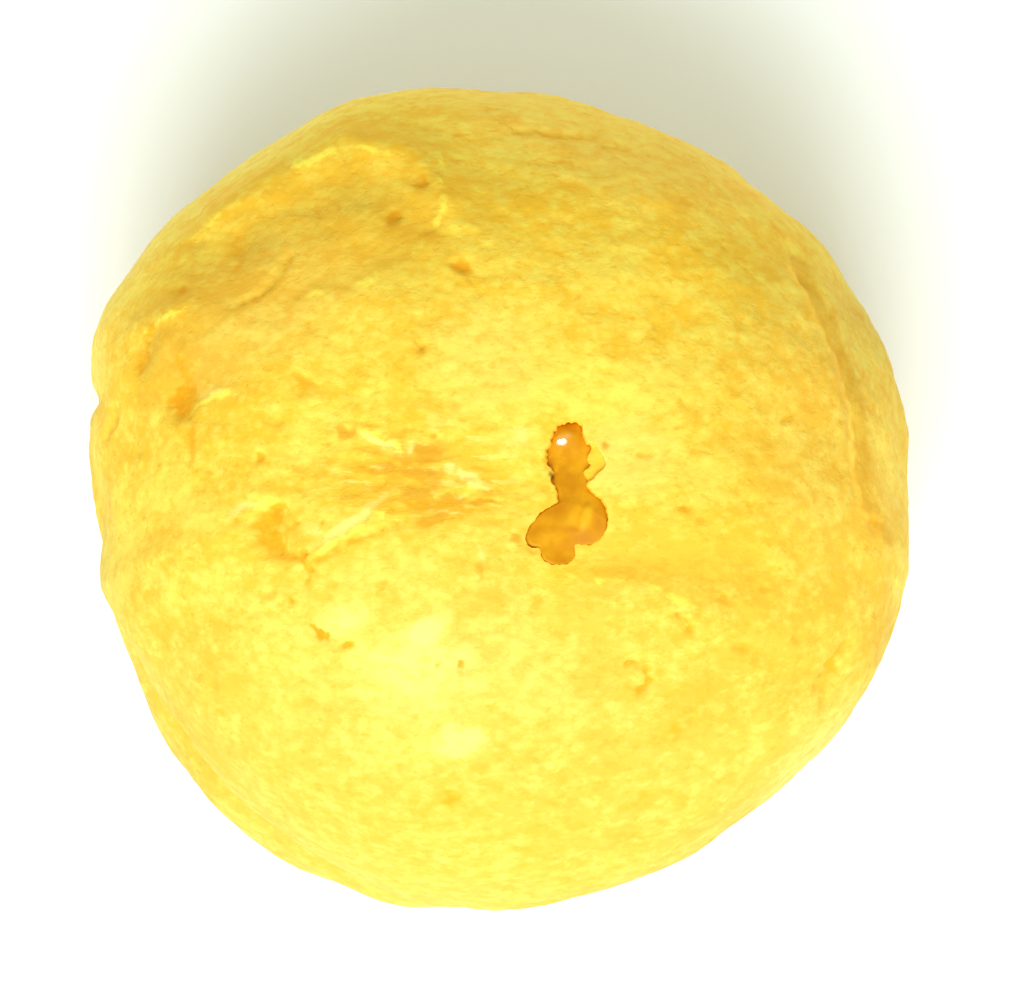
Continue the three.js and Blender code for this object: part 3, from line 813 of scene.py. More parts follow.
def relief(place, direction):
    """How far crumbs, pits and flakes lift the skin. Keeps the share of each tint for later."""
    x, y = stray(*place[:, :2].T)
    up = direction[:, 2]
    dome = smooth(*DOME_FADE, up)
    # A torn edge isn't equally strong all along: this comes and goes between 0 and 1.
    broken = np.clip(0.8 + 1.4 * grain(place + 90, 1.6, 3), 0, 1)
    marks.update(tints(x, y, direction, broken))
    drawn = place * DRAW_OUT_CRUMBS
    cells = np.array([noise.noise(p, noise_basis="VORONOI_F1") for p in (drawn / CRUMB_SIZE).tolist()])
    lift = CRUMBS * grain(drawn, UNEVEN_SIZE, 4) - ROUND_CRUMBS * np.clip(cells, -0.8, 0.8)
    lift += FIBRES * marks["fibrous"] * grain(place * DRAW_OUT_FIBRES + 9, FIBRE_SIZE, 3)
    deep, amber = pits_and_cracks(x, y)
    stands, thin_edge_highlight = torn_edges(x, y, broken)
    # The panel's edge is torn, so it strays several times as far as the rest.
    torn_x, torn_y = PANEL_STRAYS * np.array([x, y]) - (PANEL_STRAYS - 1) * place[:, :2].T
    lift += dome * (stands - deep - PANEL_DOWN * inside_share(PANEL, torn_x, torn_y, PANEL_SOFT))
    strewn, deepest = stray_pits(direction)
    lift -= strewn + SLIT_DEEP * opening(bearing_of(direction)) * np.exp(-((up / SLIT_HALF) ** 2))
    lift *= 1 - CALM_BY_TEAR * smooth(CALM_REACH, 0.0, away_from_bursts(place[:, :2])) * (up > 0)
    # Amber in pits and cracks; in the strewn pits it grows with depth, partly as painted shade.
    marks["amber"] = dome * np.maximum(amber, AMBER_AND_SHADE_PER_MM * deepest)
    # Torn edges show lemon: partly thinner dough, partly a painted highlight where the edge catches the
    # light.
    marks["lemon"] = dome * thin_edge_highlight
    # Painted shade: the deeper the gap between crumbs, the more golden.
    marks["gap"] = np.clip(-lift / GAP_SHADE_DEPTH, 0, 1)
    return lift


# %% Build the outside
sizes = [len(ring) for ring in outer]
all_directions = np.concatenate(outer)
skin = body(all_directions, relief)
print("skin, mm:", skin.min(0).round(2), skin.max(0).round(2))

# %% [markdown]
# ## The inside of the skin
#
# From the tear's edge the skin turns down through a wall less than a millimetre deep, with one ledge
# part of the way on the right, and then runs back outwards along the hollow that holds the filling. Only
# the wall is ever seen, so a few wide rings are enough for the rest of the hollow.

# %% The wall of the tear and the hollow
# The hollow is one more rounded form: its middle, how far it reaches sideways and up, and its power.
CAVITY_X, CAVITY_Y, CAVITY_Z, CAVITY_LONG, CAVITY_TALL, CAVITY_POWER = 4.4, -2.2, 23.2, 14.0, 13.3, 3.0
# The turn from straight up to the last ring round it, which a cap closes.
LAST_TURN = math.pi - 0.1
# The ledge inside the tear: x, y, half length, half width, turn of the length, and how wide it gets.
LEDGE, LEDGE_WIDE = (6.75, -0.2, 1.2, 0.8, 80), 0.9
# How far down it lies.
LEDGE_DOWN = 0.25
# How many rounds of smoothing steady the direction that leads out of the tear.
STEADYING = 250
# How far the wall leans inwards at its foot, and how much more on the far side, where it's seen best.
LEAN, MORE_LEAN_FAR = 0.04, 0.05
# How far the wall wanders, and over what length.
WANDER, WANDER_LONG = 0.05, 0.8
# How far from the middle of the tear the hollow's roof starts, how much crust it keeps above it, and how
# many rings go round the hollow from there.
ROOF_START, ROOF_CRUST, HOLLOW_RINGS = 5.2, 0.3, 10
# A dark fleck that sticks to the wall.
FLECK = (3.66, -0.97, 0.3, 0.14, -62)

# The filling's surface lies a gap below the hollow's roof and wells up in the tear, less in its upper lobe.
FILLING_GAP, WELLS_UP, LESS_ABOVE = 0.3, 0.95, 0.57
# Between these two values of y the lower lobe of the tear gives way to the upper one.
LOBES_MEET = (-4.8, 0.2)
# How far below the plain skin it stays at least in the lower lobe, where it may stand a little above it,
# and how much further down it stays in the upper one, at the ledge and outside the tear.
BELOW_SKIN, LOWER_ABOVE, LOWER_AT_LEDGE, LOWER_OUTSIDE = -0.03, 0.22, 0.3, 0.35
# Its swells and ripples: height and length.
SWELL, RIPPLE = (0.1, 2.4), (0.02, 0.6)
# Lumps in it, each an oval and a height: the wet one that catches the light, and a shred of pineapple.
WET_LUMP, WET_HEIGHT = (4.25, 1.7, 1.15, 0.8, 0), 0.42
SHRED, SHRED_HEIGHT = (5.75, -3.5, 0.85, 0.36, 70), 0.15


def ledge_at(plan):
    return LEDGE_WIDE * np.exp(-(oval(*plan.T, *LEDGE) ** 4))


def cavity_top(x, y, inset=0.0):
    level = np.hypot(x - CAVITY_X, y - CAVITY_Y) / (CAVITY_LONG - inset)
    return CAVITY_Z + (CAVITY_TALL - inset) * (1 - level**CAVITY_POWER) ** (1 / CAVITY_POWER)


def kept_below(points, gap):
    """The points, pushed down where they would come nearer than the gap to the plain skin above them."""
    from_waist = points - (0, 0, WAIST)
    reach = np.linalg.norm(from_waist, axis=1)
    skin_reach = np.linalg.norm(body(from_waist / reach[:, None], no_relief) - (0, 0, WAIST), axis=1)
    return np.column_stack([points[:, :2], points[:, 2] - np.maximum(reach + gap - skin_reach, 0)])


def filling_top(plan):
    """The filling's surface over places seen from above."""
    away = away_from_bursts(plan)
    level = np.column_stack([plan, np.full(len(plan), 3.0)])
    swell = SWELL[0] * grain(level, SWELL[1], 2) + RIPPLE[0] * grain(level + 3, RIPPLE[1], 2)
    swell += WET_HEIGHT * np.exp(-(oval(*plan.T, *WET_LUMP) ** 2))
    swell += SHRED_HEIGHT * np.exp(-(oval(*plan.T, *SHRED) ** 4))
    upper = smooth(*LOBES_MEET, plan[:, 1])
    wells = (WELLS_UP - LESS_ABOVE * upper) * smooth(0.35, -0.15, away)
    height = cavity_top(*plan.T, FILLING_GAP) + wells
    below = BELOW_SKIN + LOWER_ABOVE * upper + LOWER_AT_LEDGE * ledge_at(plan)
    top = kept_below(np.column_stack([plan, height]), below + LOWER_OUTSIDE * smooth(0.0, 0.5, away))
    top[:, 2] += swell * smooth(0.1, -0.5, away)
    return top


def cavity_rings(edge, inset, count):
    """Rings that go on from an edge, round the hollow's form to its lowest place."""
    long, tall = CAVITY_LONG - inset, CAVITY_TALL - inset
    middle = np.array([CAVITY_X, CAVITY_Y, CAVITY_Z])
    dx, dy, dz = (edge - middle).T
    start = np.arctan2(np.hypot(dx, dy), dz)
    bearing = np.arctan2(dy, dx)
    rings = []
    for share in np.linspace(0, 1, count + 1)[1:]:
        turn = start + (LAST_TURN - start) * share
        reach = (np.sin(turn) / long) ** CAVITY_POWER + (abs(np.cos(turn)) / tall) ** CAVITY_POWER
        way = np.column_stack([np.sin(turn) * np.cos(bearing), np.sin(turn) * np.sin(bearing), np.cos(turn)])
        rings.append(way * reach[:, None] ** (-1 / CAVITY_POWER) + middle)
    return rings


rim = skin[:FEW]
ledge = ledge_at(tear_edge)
wall_depth = rim[:, 2] - cavity_top(*rim[:, :2].T)
# Straight out of the tear, steadied over the small teeth of its edge so that the wall doesn't fold.
out_of_tear = sideways(tear_edge)
for _ in range(STEADYING // COARSER**2):
    out_of_tear = (np.roll(out_of_tear, 1, 0) + out_of_tear + np.roll(out_of_tear, -1, 0)) / 3
out_of_tear /= np.linalg.norm(out_of_tear, axis=1)[:, None]
print("wall of the tear, mm deep:", wall_depth.min().round(2), "to", wall_depth.max().round(2))

# The wall's course, as shares of the ledge's width and of the way down to the ledge or past it:
# the rounded lip, the drop to the ledge, the ledge itself, and the drop under it.
COURSE = [
    (0.0, 0.1), (0.0, 0.3), (0.02, 0.6), (0.1, 0.85), (0.25, 0.96), (0.45, 1.02), (0.65, 1.07),
    (0.85, 1.13), (1.0, 1.25), (1.05, 1.5), (1.07, 1.8), (1.08, 2.1),
]


def wall_ring(across, down):
    """A ring some way across the ledge and down the wall. Without a ledge the wall only leans a little."""
    wander = WANDER * grain(np.column_stack([rim[:, :2], np.full(FEW, WANDER_LONG * down)]), WANDER_LONG, 3)
    far_side = smooth(-0.5, 0.5, out_of_tear[:, 1])
    lean = smooth(0, 1.5, down) * (1 - ledge) * (LEAN + MORE_LEAN_FAR * far_side)
    plan = rim[:, :2] - out_of_tear * (across * ledge + lean + wander * smooth(0, 0.5, down))[:, None]
    return np.column_stack([plan, rim[:, 2] - LEDGE_DOWN * down])


wall = [wall_ring(*step) for step in COURSE]
jelly_below = rim[:, 2] - filling_top(tear_edge)[:, 2]
print("filling below the rim, mm:", jelly_below.min().round(2), "to", jelly_below.max().round(2))
# The last ring dips into the filling, so that no gap shows between them.
DIP = 0.12
wall[-1] = filling_top(wall[-1][:, :2]) - (0, 0, DIP)
wall[-2][:, 2] = np.maximum(wall[-2][:, 2], wall[-1][:, 2] + DIP / 2)
plan = np.array([TEAR_X, TEAR_Y]) + spoke * ROOF_START
inner = [kept_below(np.column_stack([plan, cavity_top(*plan.T)]), ROOF_CRUST)]
inner += cavity_rings(inner[0], 0, HOLLOW_RINGS)
inside = [*wall, *inner][::-1]
print(len(inside), "rings inside")

# %% [markdown]
# ## From rings to a mesh
#
# Neighbouring rings are joined corner to corner. Where one ring has twice the corners of the other,
# each of its pairs shares one corner of its neighbour, which takes three triangles instead of a
# four-sided face. A cap of triangles round one middle corner closes each end.

# %% Join the rings
def join(rings, sizes):
    """Faces between neighbouring rings, and the caps at both ends."""
    starts = np.concatenate([[0], np.cumsum(sizes)])
    faces = []
    for start, after, few, many in zip(starts, starts[1:], sizes, sizes[1:]):
        small = min(few, many)
        i = np.arange(small)
        j = (i + 1) % small
        if few == many:
            faces += np.column_stack([start + i, after + i, after + j, start + j]).tolist()
        elif few < many:
            faces += np.column_stack([start + i, after + 2 * i, after + 2 * i + 1]).tolist()
            faces += np.column_stack([start + i, after + 2 * i + 1, start + j]).tolist()
            faces += np.column_stack([start + j, after + 2 * i + 1, after + 2 * j]).tolist()
        else:
            faces += np.column_stack([start + 2 * i, after + i, start + 2 * i + 1]).tolist()
            faces += np.column_stack([start + 2 * i + 1, after + i, after + j]).tolist()
            faces += np.column_stack([start + 2 * i + 1, after + j, start + 2 * j]).tolist()
    corners = np.concatenate([*rings, rings[0].mean(0)[None], rings[-1].mean(0)[None]])
    first = np.arange(sizes[0])
    last = starts[-2] + np.arange(sizes[-1])
    faces += np.column_stack([first, np.roll(first, -1), 0 * first + len(corners) - 2]).tolist()
    faces += np.column_stack([np.roll(last, -1), last, 0 * last + len(corners) - 1]).tolist()
    return corners, faces


# The plain model stands with its outline centred, and its filling's box tells how far that moved it.
low, high = (np.array(corner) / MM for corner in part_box("pineapple_filling"))
MOVE = np.array([(low[0] + high[0]) / 2 - CAVITY_X, (low[1] + high[1]) / 2 - CAVITY_Y, 0])
print("moved by, mm:", MOVE.round(3))


def add_piece(name, corners, faces, finish):
    mesh = bpy.data.meshes.new(name)
    mesh.from_pydata(((corners + MOVE) * MM).tolist(), [], faces)
    mesh.polygons.foreach_set("use_smooth", np.ones(len(mesh.polygons), bool))
    mesh.materials.append(finish)
    piece = bpy.data.objects.new(name, mesh)
    bpy.context.scene.collection.objects.link(piece)
    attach(piece, "root")
    triangles = sum(len(face) - 2 for face in faces)
    print(name, triangles, "triangles")
    return piece


def keep_share(piece, name, values):
    """A value at each corner, for the finish to read by its name."""
    attribute = piece.data.attributes.new(name, "FLOAT", "POINT")
    attribute.data.foreach_set("value", np.asarray(values, np.float32))


rings = [*inside, *np.split(skin, np.cumsum(sizes)[:-1])]
ring_sizes = [len(ring) for ring in rings]
crust_corners, crust_faces = join(rings, ring_sizes)

# %% [markdown]
# ## Writing finishes as sums
#
# A finish is a small sum: this colour here, that one there, mixed by how uneven the dough is. Wrapping
# a node's output in a class that knows plus, minus and times lets the script say it that way, and the
# nodes follow from the sum.

# %% A wire between nodes
class Wire:
    """One output of a shader node. Arithmetic on it adds the Math nodes that do the sum."""

    def __init__(self, socket):
        self.socket = socket

    def math(self, operation, *values):
        tree = self.socket.id_data
        return add_node(tree, "ShaderNodeMath", {"operation": operation}, dict(enumerate(values)))

    def __add__(self, other):
        return self.math("ADD", self, other)

    def __sub__(self, other):
        return self.math("SUBTRACT", self, other)

    def __mul__(self, other):
        return self.math("MULTIPLY", self, other)

    def __rsub__(self, other):
        return self.math("SUBTRACT", other, self)

    __radd__ = __add__

    def between(self, low, high):
        """0 below low, 1 above high, and a smooth rise between them."""
        settings = {"interpolation_type": "SMOOTHSTEP"}
        values = {"Value": self, "From Min": low, "From Max": high, "To Min": 0.0, "To Max": 1.0}
        return add_node(self.socket.id_data, "ShaderNodeMapRange", settings, values, "Result")


def pick(sockets, wanted):
    """The enabled socket with this name, or with this number."""
    enabled = [socket for socket in sockets if socket.enabled]
    if isinstance(wanted, int):
        return enabled[wanted]
    return next(socket for socket in enabled if socket.name == wanted)


def add_node(tree, kind, settings=None, values=None, output=0):
    """Any shader node: its settings first, then a value or a wire for each input, by name or number."""
    node = tree.nodes.new(kind)
    for name, value in (settings or {}).items():
        setattr(node, name, value)
    for name, value in (values or {}).items():
        socket = pick(node.inputs, name)
        if isinstance(value, Wire):
            tree.links.new(value.socket, socket)
        else:
            socket.default_value = value
    return Wire(pick(node.outputs, output))


def mix(share, first, second):
    """A colour that goes from the first to the second as share goes from 0 to 1."""
    tree = share.socket.id_data
    settings = {"data_type": "RGBA", "clamp_factor": True}
    return add_node(tree, "ShaderNodeMix", settings, {"Factor": share, "A": first, "B": second}, "Result")


def brighter(colour, factor):
    """A colour with all of its parts times a factor."""
    values = {"Vector": colour, "Scale": factor}
    return add_node(colour.socket.id_data, "ShaderNodeVectorMath", {"operation": "SCALE"}, values)


def place_in_mm(tree, stretch=(1.0, 1.0, 1.0)):
    """The place on the piece in millimetres, squeezed so that a pattern comes out drawn out by it."""
    place = add_node(tree, "ShaderNodeTexCoord", output="Object")
    scale = [1 / (MM * s) for s in stretch]
    return add_node(tree, "ShaderNodeVectorMath", {"operation": "MULTIPLY"}, {0: place, 1: scale})


def lumps(place, size, detail=2.0, roughness=0.5):
    """A natural pattern from 0 to 1 whose lumps measure size in millimetres."""
    values = {"Vector": place, "Scale": 1 / size, "Detail": detail, "Roughness": roughness}
    return add_node(place.socket.id_data, "ShaderNodeTexNoise", None, values, "Fac")


def shaken(place, size, far):
    """Places pushed about a little by an uneven pattern, so that regular shapes lose their neatness."""
    tree = place.socket.id_data
    pattern = {"Vector": place, "Scale": 1 / size, "Detail": 2.0}
    push = add_node(tree, "ShaderNodeTexNoise", None, pattern, "Color")
    values = {0: push, 1: (far, far, far), 2: place}
    return add_node(tree, "ShaderNodeVectorMath", {"operation": "MULTIPLY_ADD"}, values)


def grains(place, size):
    """Round grains that measure size: 1 in the middle of each and 0 between them, and a shade for each."""
    tree, settings = place.socket.id_data, {"feature": "F1"}
    values = {"Vector": place, "Scale": 1 / size}
    away = add_node(tree, "ShaderNodeTexVoronoi", settings, values, "Distance")
    shade = add_node(tree, "ShaderNodeTexVoronoi", settings, values, "Color")
    return 1 - away.between(0.0, 0.75), shade


def share_of(tree, name):
    """The value that a mesh keeps at each corner under this name."""
    return add_node(tree, "ShaderNodeAttribute", {"attribute_name": name}, output="Fac")


def new_finish(name):
    """A finish and its tree, with the nodes that every finish starts from."""
    finish = bpy.data.materials.new(name)
    finish.use_nodes = True
    tree = finish.node_tree
    return finish, tree, tree.nodes["Principled BSDF"]


def feed(tree, shader, **wires):
    """Joins wires to the shader's inputs. A name with an underscore has a space in it."""
    for name, wire in wires.items():
        tree.links.new(wire.socket, shader.inputs[name.replace("_", " ")])


# %% [markdown]
# ## The crust's finish
#
# Egg-yellow dough, baked dry. Most of what looks lemon on the near side and golden on the far side is
# the light's doing, but the dough varies too: lemon where it's thin, golden where the oven caught it,
# and mottled all over in patches drawn out from left to right. The mesh keeps a share for each tint
# that has a place of its own: pale flakes, orange stains, and the moist amber dough in pits and cracks,
# and painted light and shade as well: painted highlights on torn edges, painted sheen on the rim,
# painted shade in gaps, the crease and deep pits, and spots painted brighter or darker. A slope that
# turns away from the window gets painted warm shade, a golden tint that stands in for light that
# comes through the dough.

# %% Crust
BRIGHT = (0.75, 0.59, 0.078, 1)
DEEP = (0.73, 0.42, 0.022, 1)
CREAM = (0.77, 0.56, 0.100, 1)
DEEP_CREAM = (0.75, 0.42, 0.044, 1)
LEMON = (0.80, 0.66, 0.070, 1)
GOLDEN = (0.74, 0.45, 0.040, 1)
DEEP_GOLDEN = (0.69, 0.36, 0.022, 1)
PALE = (0.82, 0.68, 0.18, 1)
STAIN = (0.61, 0.29, 0.013, 1)
AMBER = (0.68, 0.29, 0.005, 1)
PALE_AMBER = (0.72, 0.37, 0.012, 1)
WARM_SHADE = (0.88, 0.46, 0.024, 1)
FLECK_BROWN = (0.22, 0.09, 0.004, 1)

crust, tree, shader = new_finish("baked_crust")
drawn = place_in_mm(tree, (1.4, 1.0, 1.0))
broad = lumps(drawn, 3.6, 2.0, 0.5)
crumbs = lumps(drawn, 1.1, 4.0, 0.75)
round_crumbs, crumb_shade = grains(shaken(drawn, 0.5, 0.3), 0.6)
pores = lumps(place_in_mm(tree, (1.2, 1.0, 1.0)), 0.6, 2.0, 0.5)
flecks = lumps(shaken(drawn, 1.5, 1.2), 1.4, 3.0, 0.6)
mottles = lumps(place_in_mm(tree, (1.5, 1.2, 1.0)), 0.9, 3.0, 0.7)
fibres = lumps(place_in_mm(tree, (4.0, 1.0, 1.0)), 0.7, 3.0, 0.6)


def torn(share):
    """A share whose edge is ragged with crumbs, instead of fading out."""
    return (share + (crumbs - 0.5) * 1.2 - (round_crumbs - 0.5) * 0.4).between(0.25, 0.8)


crinkled = share_of(tree, "crinkled")
fibrous = share_of(tree, "fibrous")
creamy = share_of(tree, "creamy")
tone = 0.5 + (broad - 0.5) * 0.25 + (crumbs - 0.5) * 0.5 + share_of(tree, "tone") * 0.1
tone = tone + (round_crumbs - 0.5) * 0.06 + (crumb_shade - 0.5) * 0.07
colour = mix(tone.between(0.37, 0.63), mix(creamy, DEEP, DEEP_CREAM), mix(creamy, BRIGHT, CREAM))
golden = mix(tone.between(0.4, 0.6), DEEP_GOLDEN, GOLDEN)
colour = mix(share_of(tree, "deep") * (0.4 + crumbs), colour, golden)
colour = mix(pores.between(0.60, 0.70) * 0.5, colour, golden)
colour = mix(flecks.between(0.62, 0.70) * 0.7, colour, golden)
colour = mix(share_of(tree, "mottled") * mottles.between(0.46, 0.60) * 0.65, colour, golden)
# Painted shade: gaps between crumbs turn golden.
colour = mix(share_of(tree, "gap") * 0.3, colour, golden)
colour = mix(fibrous * fibres.between(0.54, 0.62) * 0.5, colour, STAIN)
colour = mix(fibrous * (1 - fibres.between(0.36, 0.44)) * 0.5, colour, PALE)
colour = mix(torn(share_of(tree, "stain")) * 0.9, colour, STAIN)
# Lemon rims of torn edges, partly painted highlight.
colour = mix(torn(share_of(tree, "lemon")) * 0.9, colour, LEMON)
pale = share_of(tree, "pale")
colour = mix(pale * 0.4 + torn(pale) * 0.4, colour, PALE)
colour = mix(torn(share_of(tree, "amber")), colour, mix(crumbs.between(0.4, 0.65), AMBER, PALE_AMBER))
# Painted warm shade on slopes that turn away from the window.
colour = mix(share_of(tree, "painted_warm_shade") * 0.7, colour, WARM_SHADE)
# Painted light and shade: the colour made brighter or darker by the painted light share.
colour = brighter(colour, share_of(tree, "painted_light") * 0.25 + 1)
colour = mix(share_of(tree, "fleck"), colour, FLECK_BROWN)
height = crumbs * (0.8 + crinkled * 0.4) + round_crumbs * 0.25
height = height - pores.between(0.55, 0.75) * 0.25 - fibrous * fibres
bump = add_node(tree, "ShaderNodeBump", None, {"Strength": 1.0, "Distance": 0.07 * MM, "Height": height})
feed(tree, shader, Base_Color=colour, Normal=bump)
shader.inputs["Roughness"].default_value = 0.72
shader.inputs["Specular IOR Level"].default_value = 0.15

crust_piece = add_piece("crust_skin", crust_corners, crust_faces, crust)
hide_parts("puff_shell")
inside_corners = sum(len(ring) for ring in inside)

# %% Marks that the mesh keeps
# Moist dough is deeper in colour and a little stained, and it's painted brighter, as painted light where the
# wall lies in shade.
MOIST_AND_PAINTED_LIGHT = {"deep": 0.8, "stain": 0.15, "painted_light": 0.8}
# The dough is moist in the hollow, less so further up the wall of the tear, and nearly dry on the ledge.
up_the_wall = np.linspace(1.0, 0.25, len(wall))[:, None] * (1 - ledge)
moist = np.concatenate([np.ones(len(inner) * FEW), up_the_wall.ravel()])
for name, values in marks.items():
    shares = np.zeros(len(crust_corners))
    shares[:inside_corners] = moist * MOIST_AND_PAINTED_LIGHT.get(name, 0)
    shares[inside_corners:inside_corners + len(values)] = values
    keep_share(crust_piece, name, shares)
on_fleck = np.exp(-(oval(*crust_corners[:, :2].T, *FLECK) ** 4))
keep_share(crust_piece, "fleck", on_fleck * (crust_corners[:, 2] > WAIST))

# %% Slopes that turn away from the window
# The direction to the window that lights the puff, as the cell on light further down places it.
TO_THE_WINDOW = np.array([-0.06, -0.64, 0.77])
# How quickly the painted warm shade grows with the turn, and how much of a turn stays without it.
TURN_GAIN, TURN_LEFT_OUT = 2.5, 0.15


def plain_slope(direction):
    """Which way a smooth puff would face in these directions: straight out of its rounded form."""
    level = np.hypot(*direction[:, :2].T)[:, None]
    up = direction[:, 2:]
    outwards = direction[:, :2] / level * (level / (WIDEST / 2)) ** (DOME_POWER - 1) * 2 / WIDEST
    upwards = np.sign(up) * abs(up / DOME_RISE) ** (DOME_POWER - 1) / DOME_RISE
    facing = np.hstack([outwards, upwards])
    return facing / np.linalg.norm(facing, axis=1)[:, None]


normals = np.empty(len(crust_corners) * 3)
crust_piece.data.vertex_normals.foreach_get("vector", normals)
facing = normals.reshape(-1, 3)[inside_corners:-2]
turned_by = (plain_slope(all_directions) - facing) @ TO_THE_WINDOW
painted_warm_shade = np.ones(len(crust_corners))
painted_warm_shade[inside_corners:-2] = np.clip(turned_by * TURN_GAIN - TURN_LEFT_OUT, 0, 1)
print("turned away from the window:", (painted_warm_shade[inside_corners:] > 0.5).mean().round(3))
keep_share(crust_piece, "painted_warm_shade", painted_warm_shade)

# %% [markdown]
# ## The filling
#
# Pineapple cooked to a clear amber jelly, wet and shiny, with lumps of fruit just under its surface.
# It fills the hollow. The tear shows a patch of it, nearly level with the crust in the lower lobe and
# somewhat more than half a millimetre down in the upper one. So it is a rounded body whose top, under
# the tear, swells and dips gently.

# %% Filling
# How many rings its top has and how far they reach from the middle of the tear, and the rings below.
FILL_RINGS, FILL_REACH, FILL_RINGS_BELOW = 60 // COARSER, 7.5, 14
# How far up from the hollow's middle the marks fade in, so that only the top has them.
TOP_FADE = 5
JELLY_DEEP = (0.54, 0.215, 0.003, 1)
JELLY_BRIGHT = (0.63, 0.28, 0.005, 1)
PULP_AMBER = (0.69, 0.36, 0.010, 1)
SHADED_AMBER = (0.48, 0.17, 0.002, 1)
FRUIT_AMBER = (0.67, 0.33, 0.009, 1)
# Marks on it: the wet spot that catches the light, cloudy pulp, and shade in its dips. Each is some ovals.
WET = [(3.9, 1.35, 0.4, 0.3, -20, 1.0), (4.2, 1.05, 0.3, 0.26, 0, 1.0), (4.5, 1.42, 0.3, 0.14, 20, 1.0)]
PULP = [(4.7, -3.5, 0.9, 0.7, 20, 0.35), (5.9, -0.6, 0.6, 1.3, 0, 0.3), (3.0, -5.0, 0.9, 0.6, 30, 0.25)]
SHADE = [
    (3.8, -3.1, 0.9, 0.6, 42, 1.0),
    (4.6, -1.9, 0.6, 1.0, 0, 0.5),
    (5.3, -4.45, 1.0, 0.22, -6, 0.9),
    (6.7, -3.8, 0.5, 1.0, 0, 0.8),
    (4.1, -6.1, 0.9, 0.4, 0, 0.6),
    (5.9, -4.7, 0.9, 0.6, 0, 0.9),
    (2.7, -4.5, 0.6, 0.4, 40, 0.7),
    (3.3, -3.3, 0.5, 0.4, 40, 0.9),
]
fill_reaches = np.linspace(0.1, FILL_REACH, FILL_RINGS)
fill_rings = [filling_top(np.array([TEAR_X, TEAR_Y]) + spoke * reach) for reach in fill_reaches]
fill_rings += cavity_rings(fill_rings[-1], FILLING_GAP, FILL_RINGS_BELOW)
fill_corners, fill_faces = join(fill_rings, [FEW] * len(fill_rings))

jelly, tree, shader = new_finish("pineapple_jelly")
place = place_in_mm(tree)
cloud = lumps(place, 1.2, 3.0, 0.6)
colour = mix(cloud.between(0.36, 0.66), JELLY_DEEP, JELLY_BRIGHT)
colour = mix(share_of(tree, "pulp"), colour, PULP_AMBER)
colour = mix(share_of(tree, "shade"), colour, SHADED_AMBER)
colour = mix(share_of(tree, "fruit"), colour, FRUIT_AMBER)
colour = mix(share_of(tree, "fleck"), colour, FLECK_BROWN)
feed(tree, shader, Base_Color=colour, Coat_Weight=share_of(tree, "wet"))
shader.inputs["Roughness"].default_value = 0.45
shader.inputs["Specular IOR Level"].default_value = 0.08
shader.inputs["Coat Roughness"].default_value = 0.04
shader.inputs["Coat IOR"].default_value = 2.2

filling_piece = add_piece("pineapple_jelly", fill_corners, fill_faces, jelly)
x, y = fill_corners[:, :2].T
on_top = smooth(CAVITY_Z, CAVITY_Z + TOP_FADE, fill_corners[:, 2])
keep_share(filling_piece, "pulp", on_top * most_of(PULP, x, y, 2))
keep_share(filling_piece, "shade", on_top * most_of(SHADE, x, y, 2))
keep_share(filling_piece, "fruit", on_top * np.exp(-(oval(x, y, *SHRED) ** 4)))
keep_share(filling_piece, "fleck", on_top * np.exp(-(oval(x, y, *FLECK) ** 4)))
keep_share(filling_piece, "wet", on_top * most_of(WET, x, y))
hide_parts("pineapple_filling")

# %% [markdown]
# ## Table, light and camera
#
# The puff lies on a white table under soft daylight that comes from the front, a little from the left,
# so that only the far side has a shadow. The picture is bright enough to wash the table out. The
# camera looks down steeply, and a long lens keeps the outline nearly as round as it is.

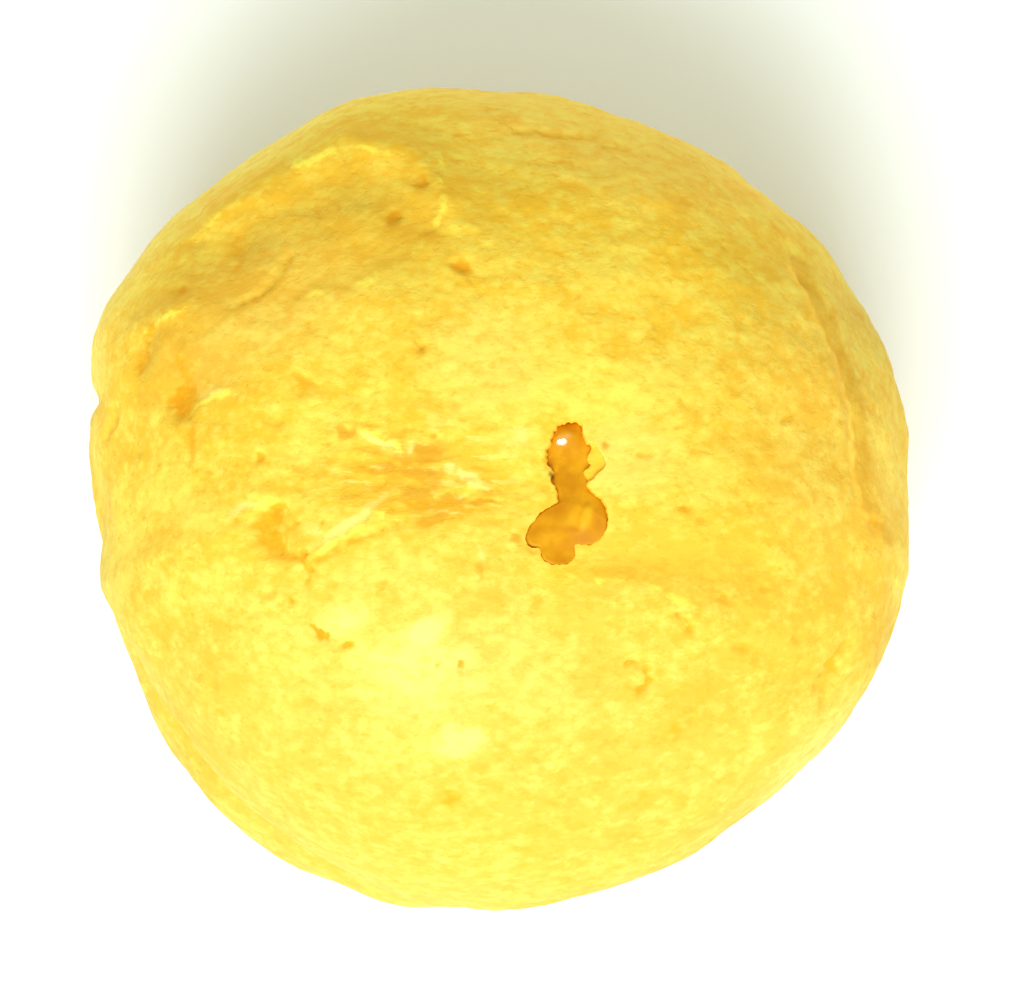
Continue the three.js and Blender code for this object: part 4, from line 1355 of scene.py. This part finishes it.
# %% Table
TABLE_HALF = 600 * MM
GREYER_WHITE, WHITE = (0.86, 0.86, 0.85, 1), (0.88, 0.88, 0.87, 1)
table = bpy.data.meshes.new("table")
table_corners = [(TABLE_HALF * x, TABLE_HALF * y, 0) for x, y in ((-1, -1), (1, -1), (1, 1), (-1, 1))]
table.from_pydata(table_corners, [], [(0, 1, 2, 3)])
white, tree, shader = new_finish("white_table")
tint = lumps(place_in_mm(tree), 30.0)
feed(tree, shader, Base_Color=mix(tint, GREYER_WHITE, WHITE))
shader.inputs["Roughness"].default_value = 0.8
table.materials.append(white)
table_top = bpy.data.objects.new("table", table)
bpy.context.scene.collection.objects.link(table_top)

# %% Light
# The window's bearing and its angle above the table, how far away it is, its size, and where it points.
KEY_BEARING, KEY_HEIGHT, KEY_AWAY, KEY_SIZE = -95, 50, 500 * MM, 300 * MM
KEY_AIM = (0, 0, 20 * MM)
# How bright the window and the room are.
KEY, FILL = 1.15, 0.85
KEY_COLOUR, FILL_COLOUR = (0.92, 1.0, 1.08), (0.95, 1.0, 0.84, 1)


def level_and_up(bearing, height, away):
    b, h = math.radians(bearing), math.radians(height)
    return (away * math.cos(h) * math.cos(b), away * math.cos(h) * math.sin(b), away * math.sin(h))


def aim(thing, towards):
    way = Vector(towards) - thing.location
    thing.rotation_euler = way.to_track_quat("-Z", "Y").to_euler()


lamp = bpy.data.lights.new("window", "AREA")
lamp.shape = "SQUARE"
lamp.size = KEY_SIZE
lamp.energy = KEY * math.pi**2 * KEY_AWAY**2
lamp.color = KEY_COLOUR
window = bpy.data.objects.new("window", lamp)
window.location = level_and_up(KEY_BEARING, KEY_HEIGHT, KEY_AWAY)
aim(window, KEY_AIM)
bpy.context.scene.collection.objects.link(window)

world = bpy.data.worlds.new("room")
world.use_nodes = True
world.node_tree.nodes["Background"].inputs["Color"].default_value = FILL_COLOUR
world.node_tree.nodes["Background"].inputs["Strength"].default_value = FILL
bpy.context.scene.world = world
bpy.context.scene.view_settings.view_transform = "Standard"

# %% Camera
# The camera's angle above the table, how far away it is, and its lens and sensor in millimetres.
CAMERA_HEIGHT, CAMERA_AWAY, LENS, SENSOR = 84, 260 * MM, 136.65, 36
AIM = (1.04 * MM, 0.57 * MM, 15.27 * MM)
camera = bpy.data.objects.new("camera", bpy.data.cameras.new("camera"))
camera.data.lens = LENS
camera.data.sensor_width = SENSOR
camera.location = np.array(AIM) + np.array(level_and_up(-90, CAMERA_HEIGHT, CAMERA_AWAY))
aim(camera, AIM)
bpy.context.scene.collection.objects.link(camera)
bpy.context.scene.camera = camera
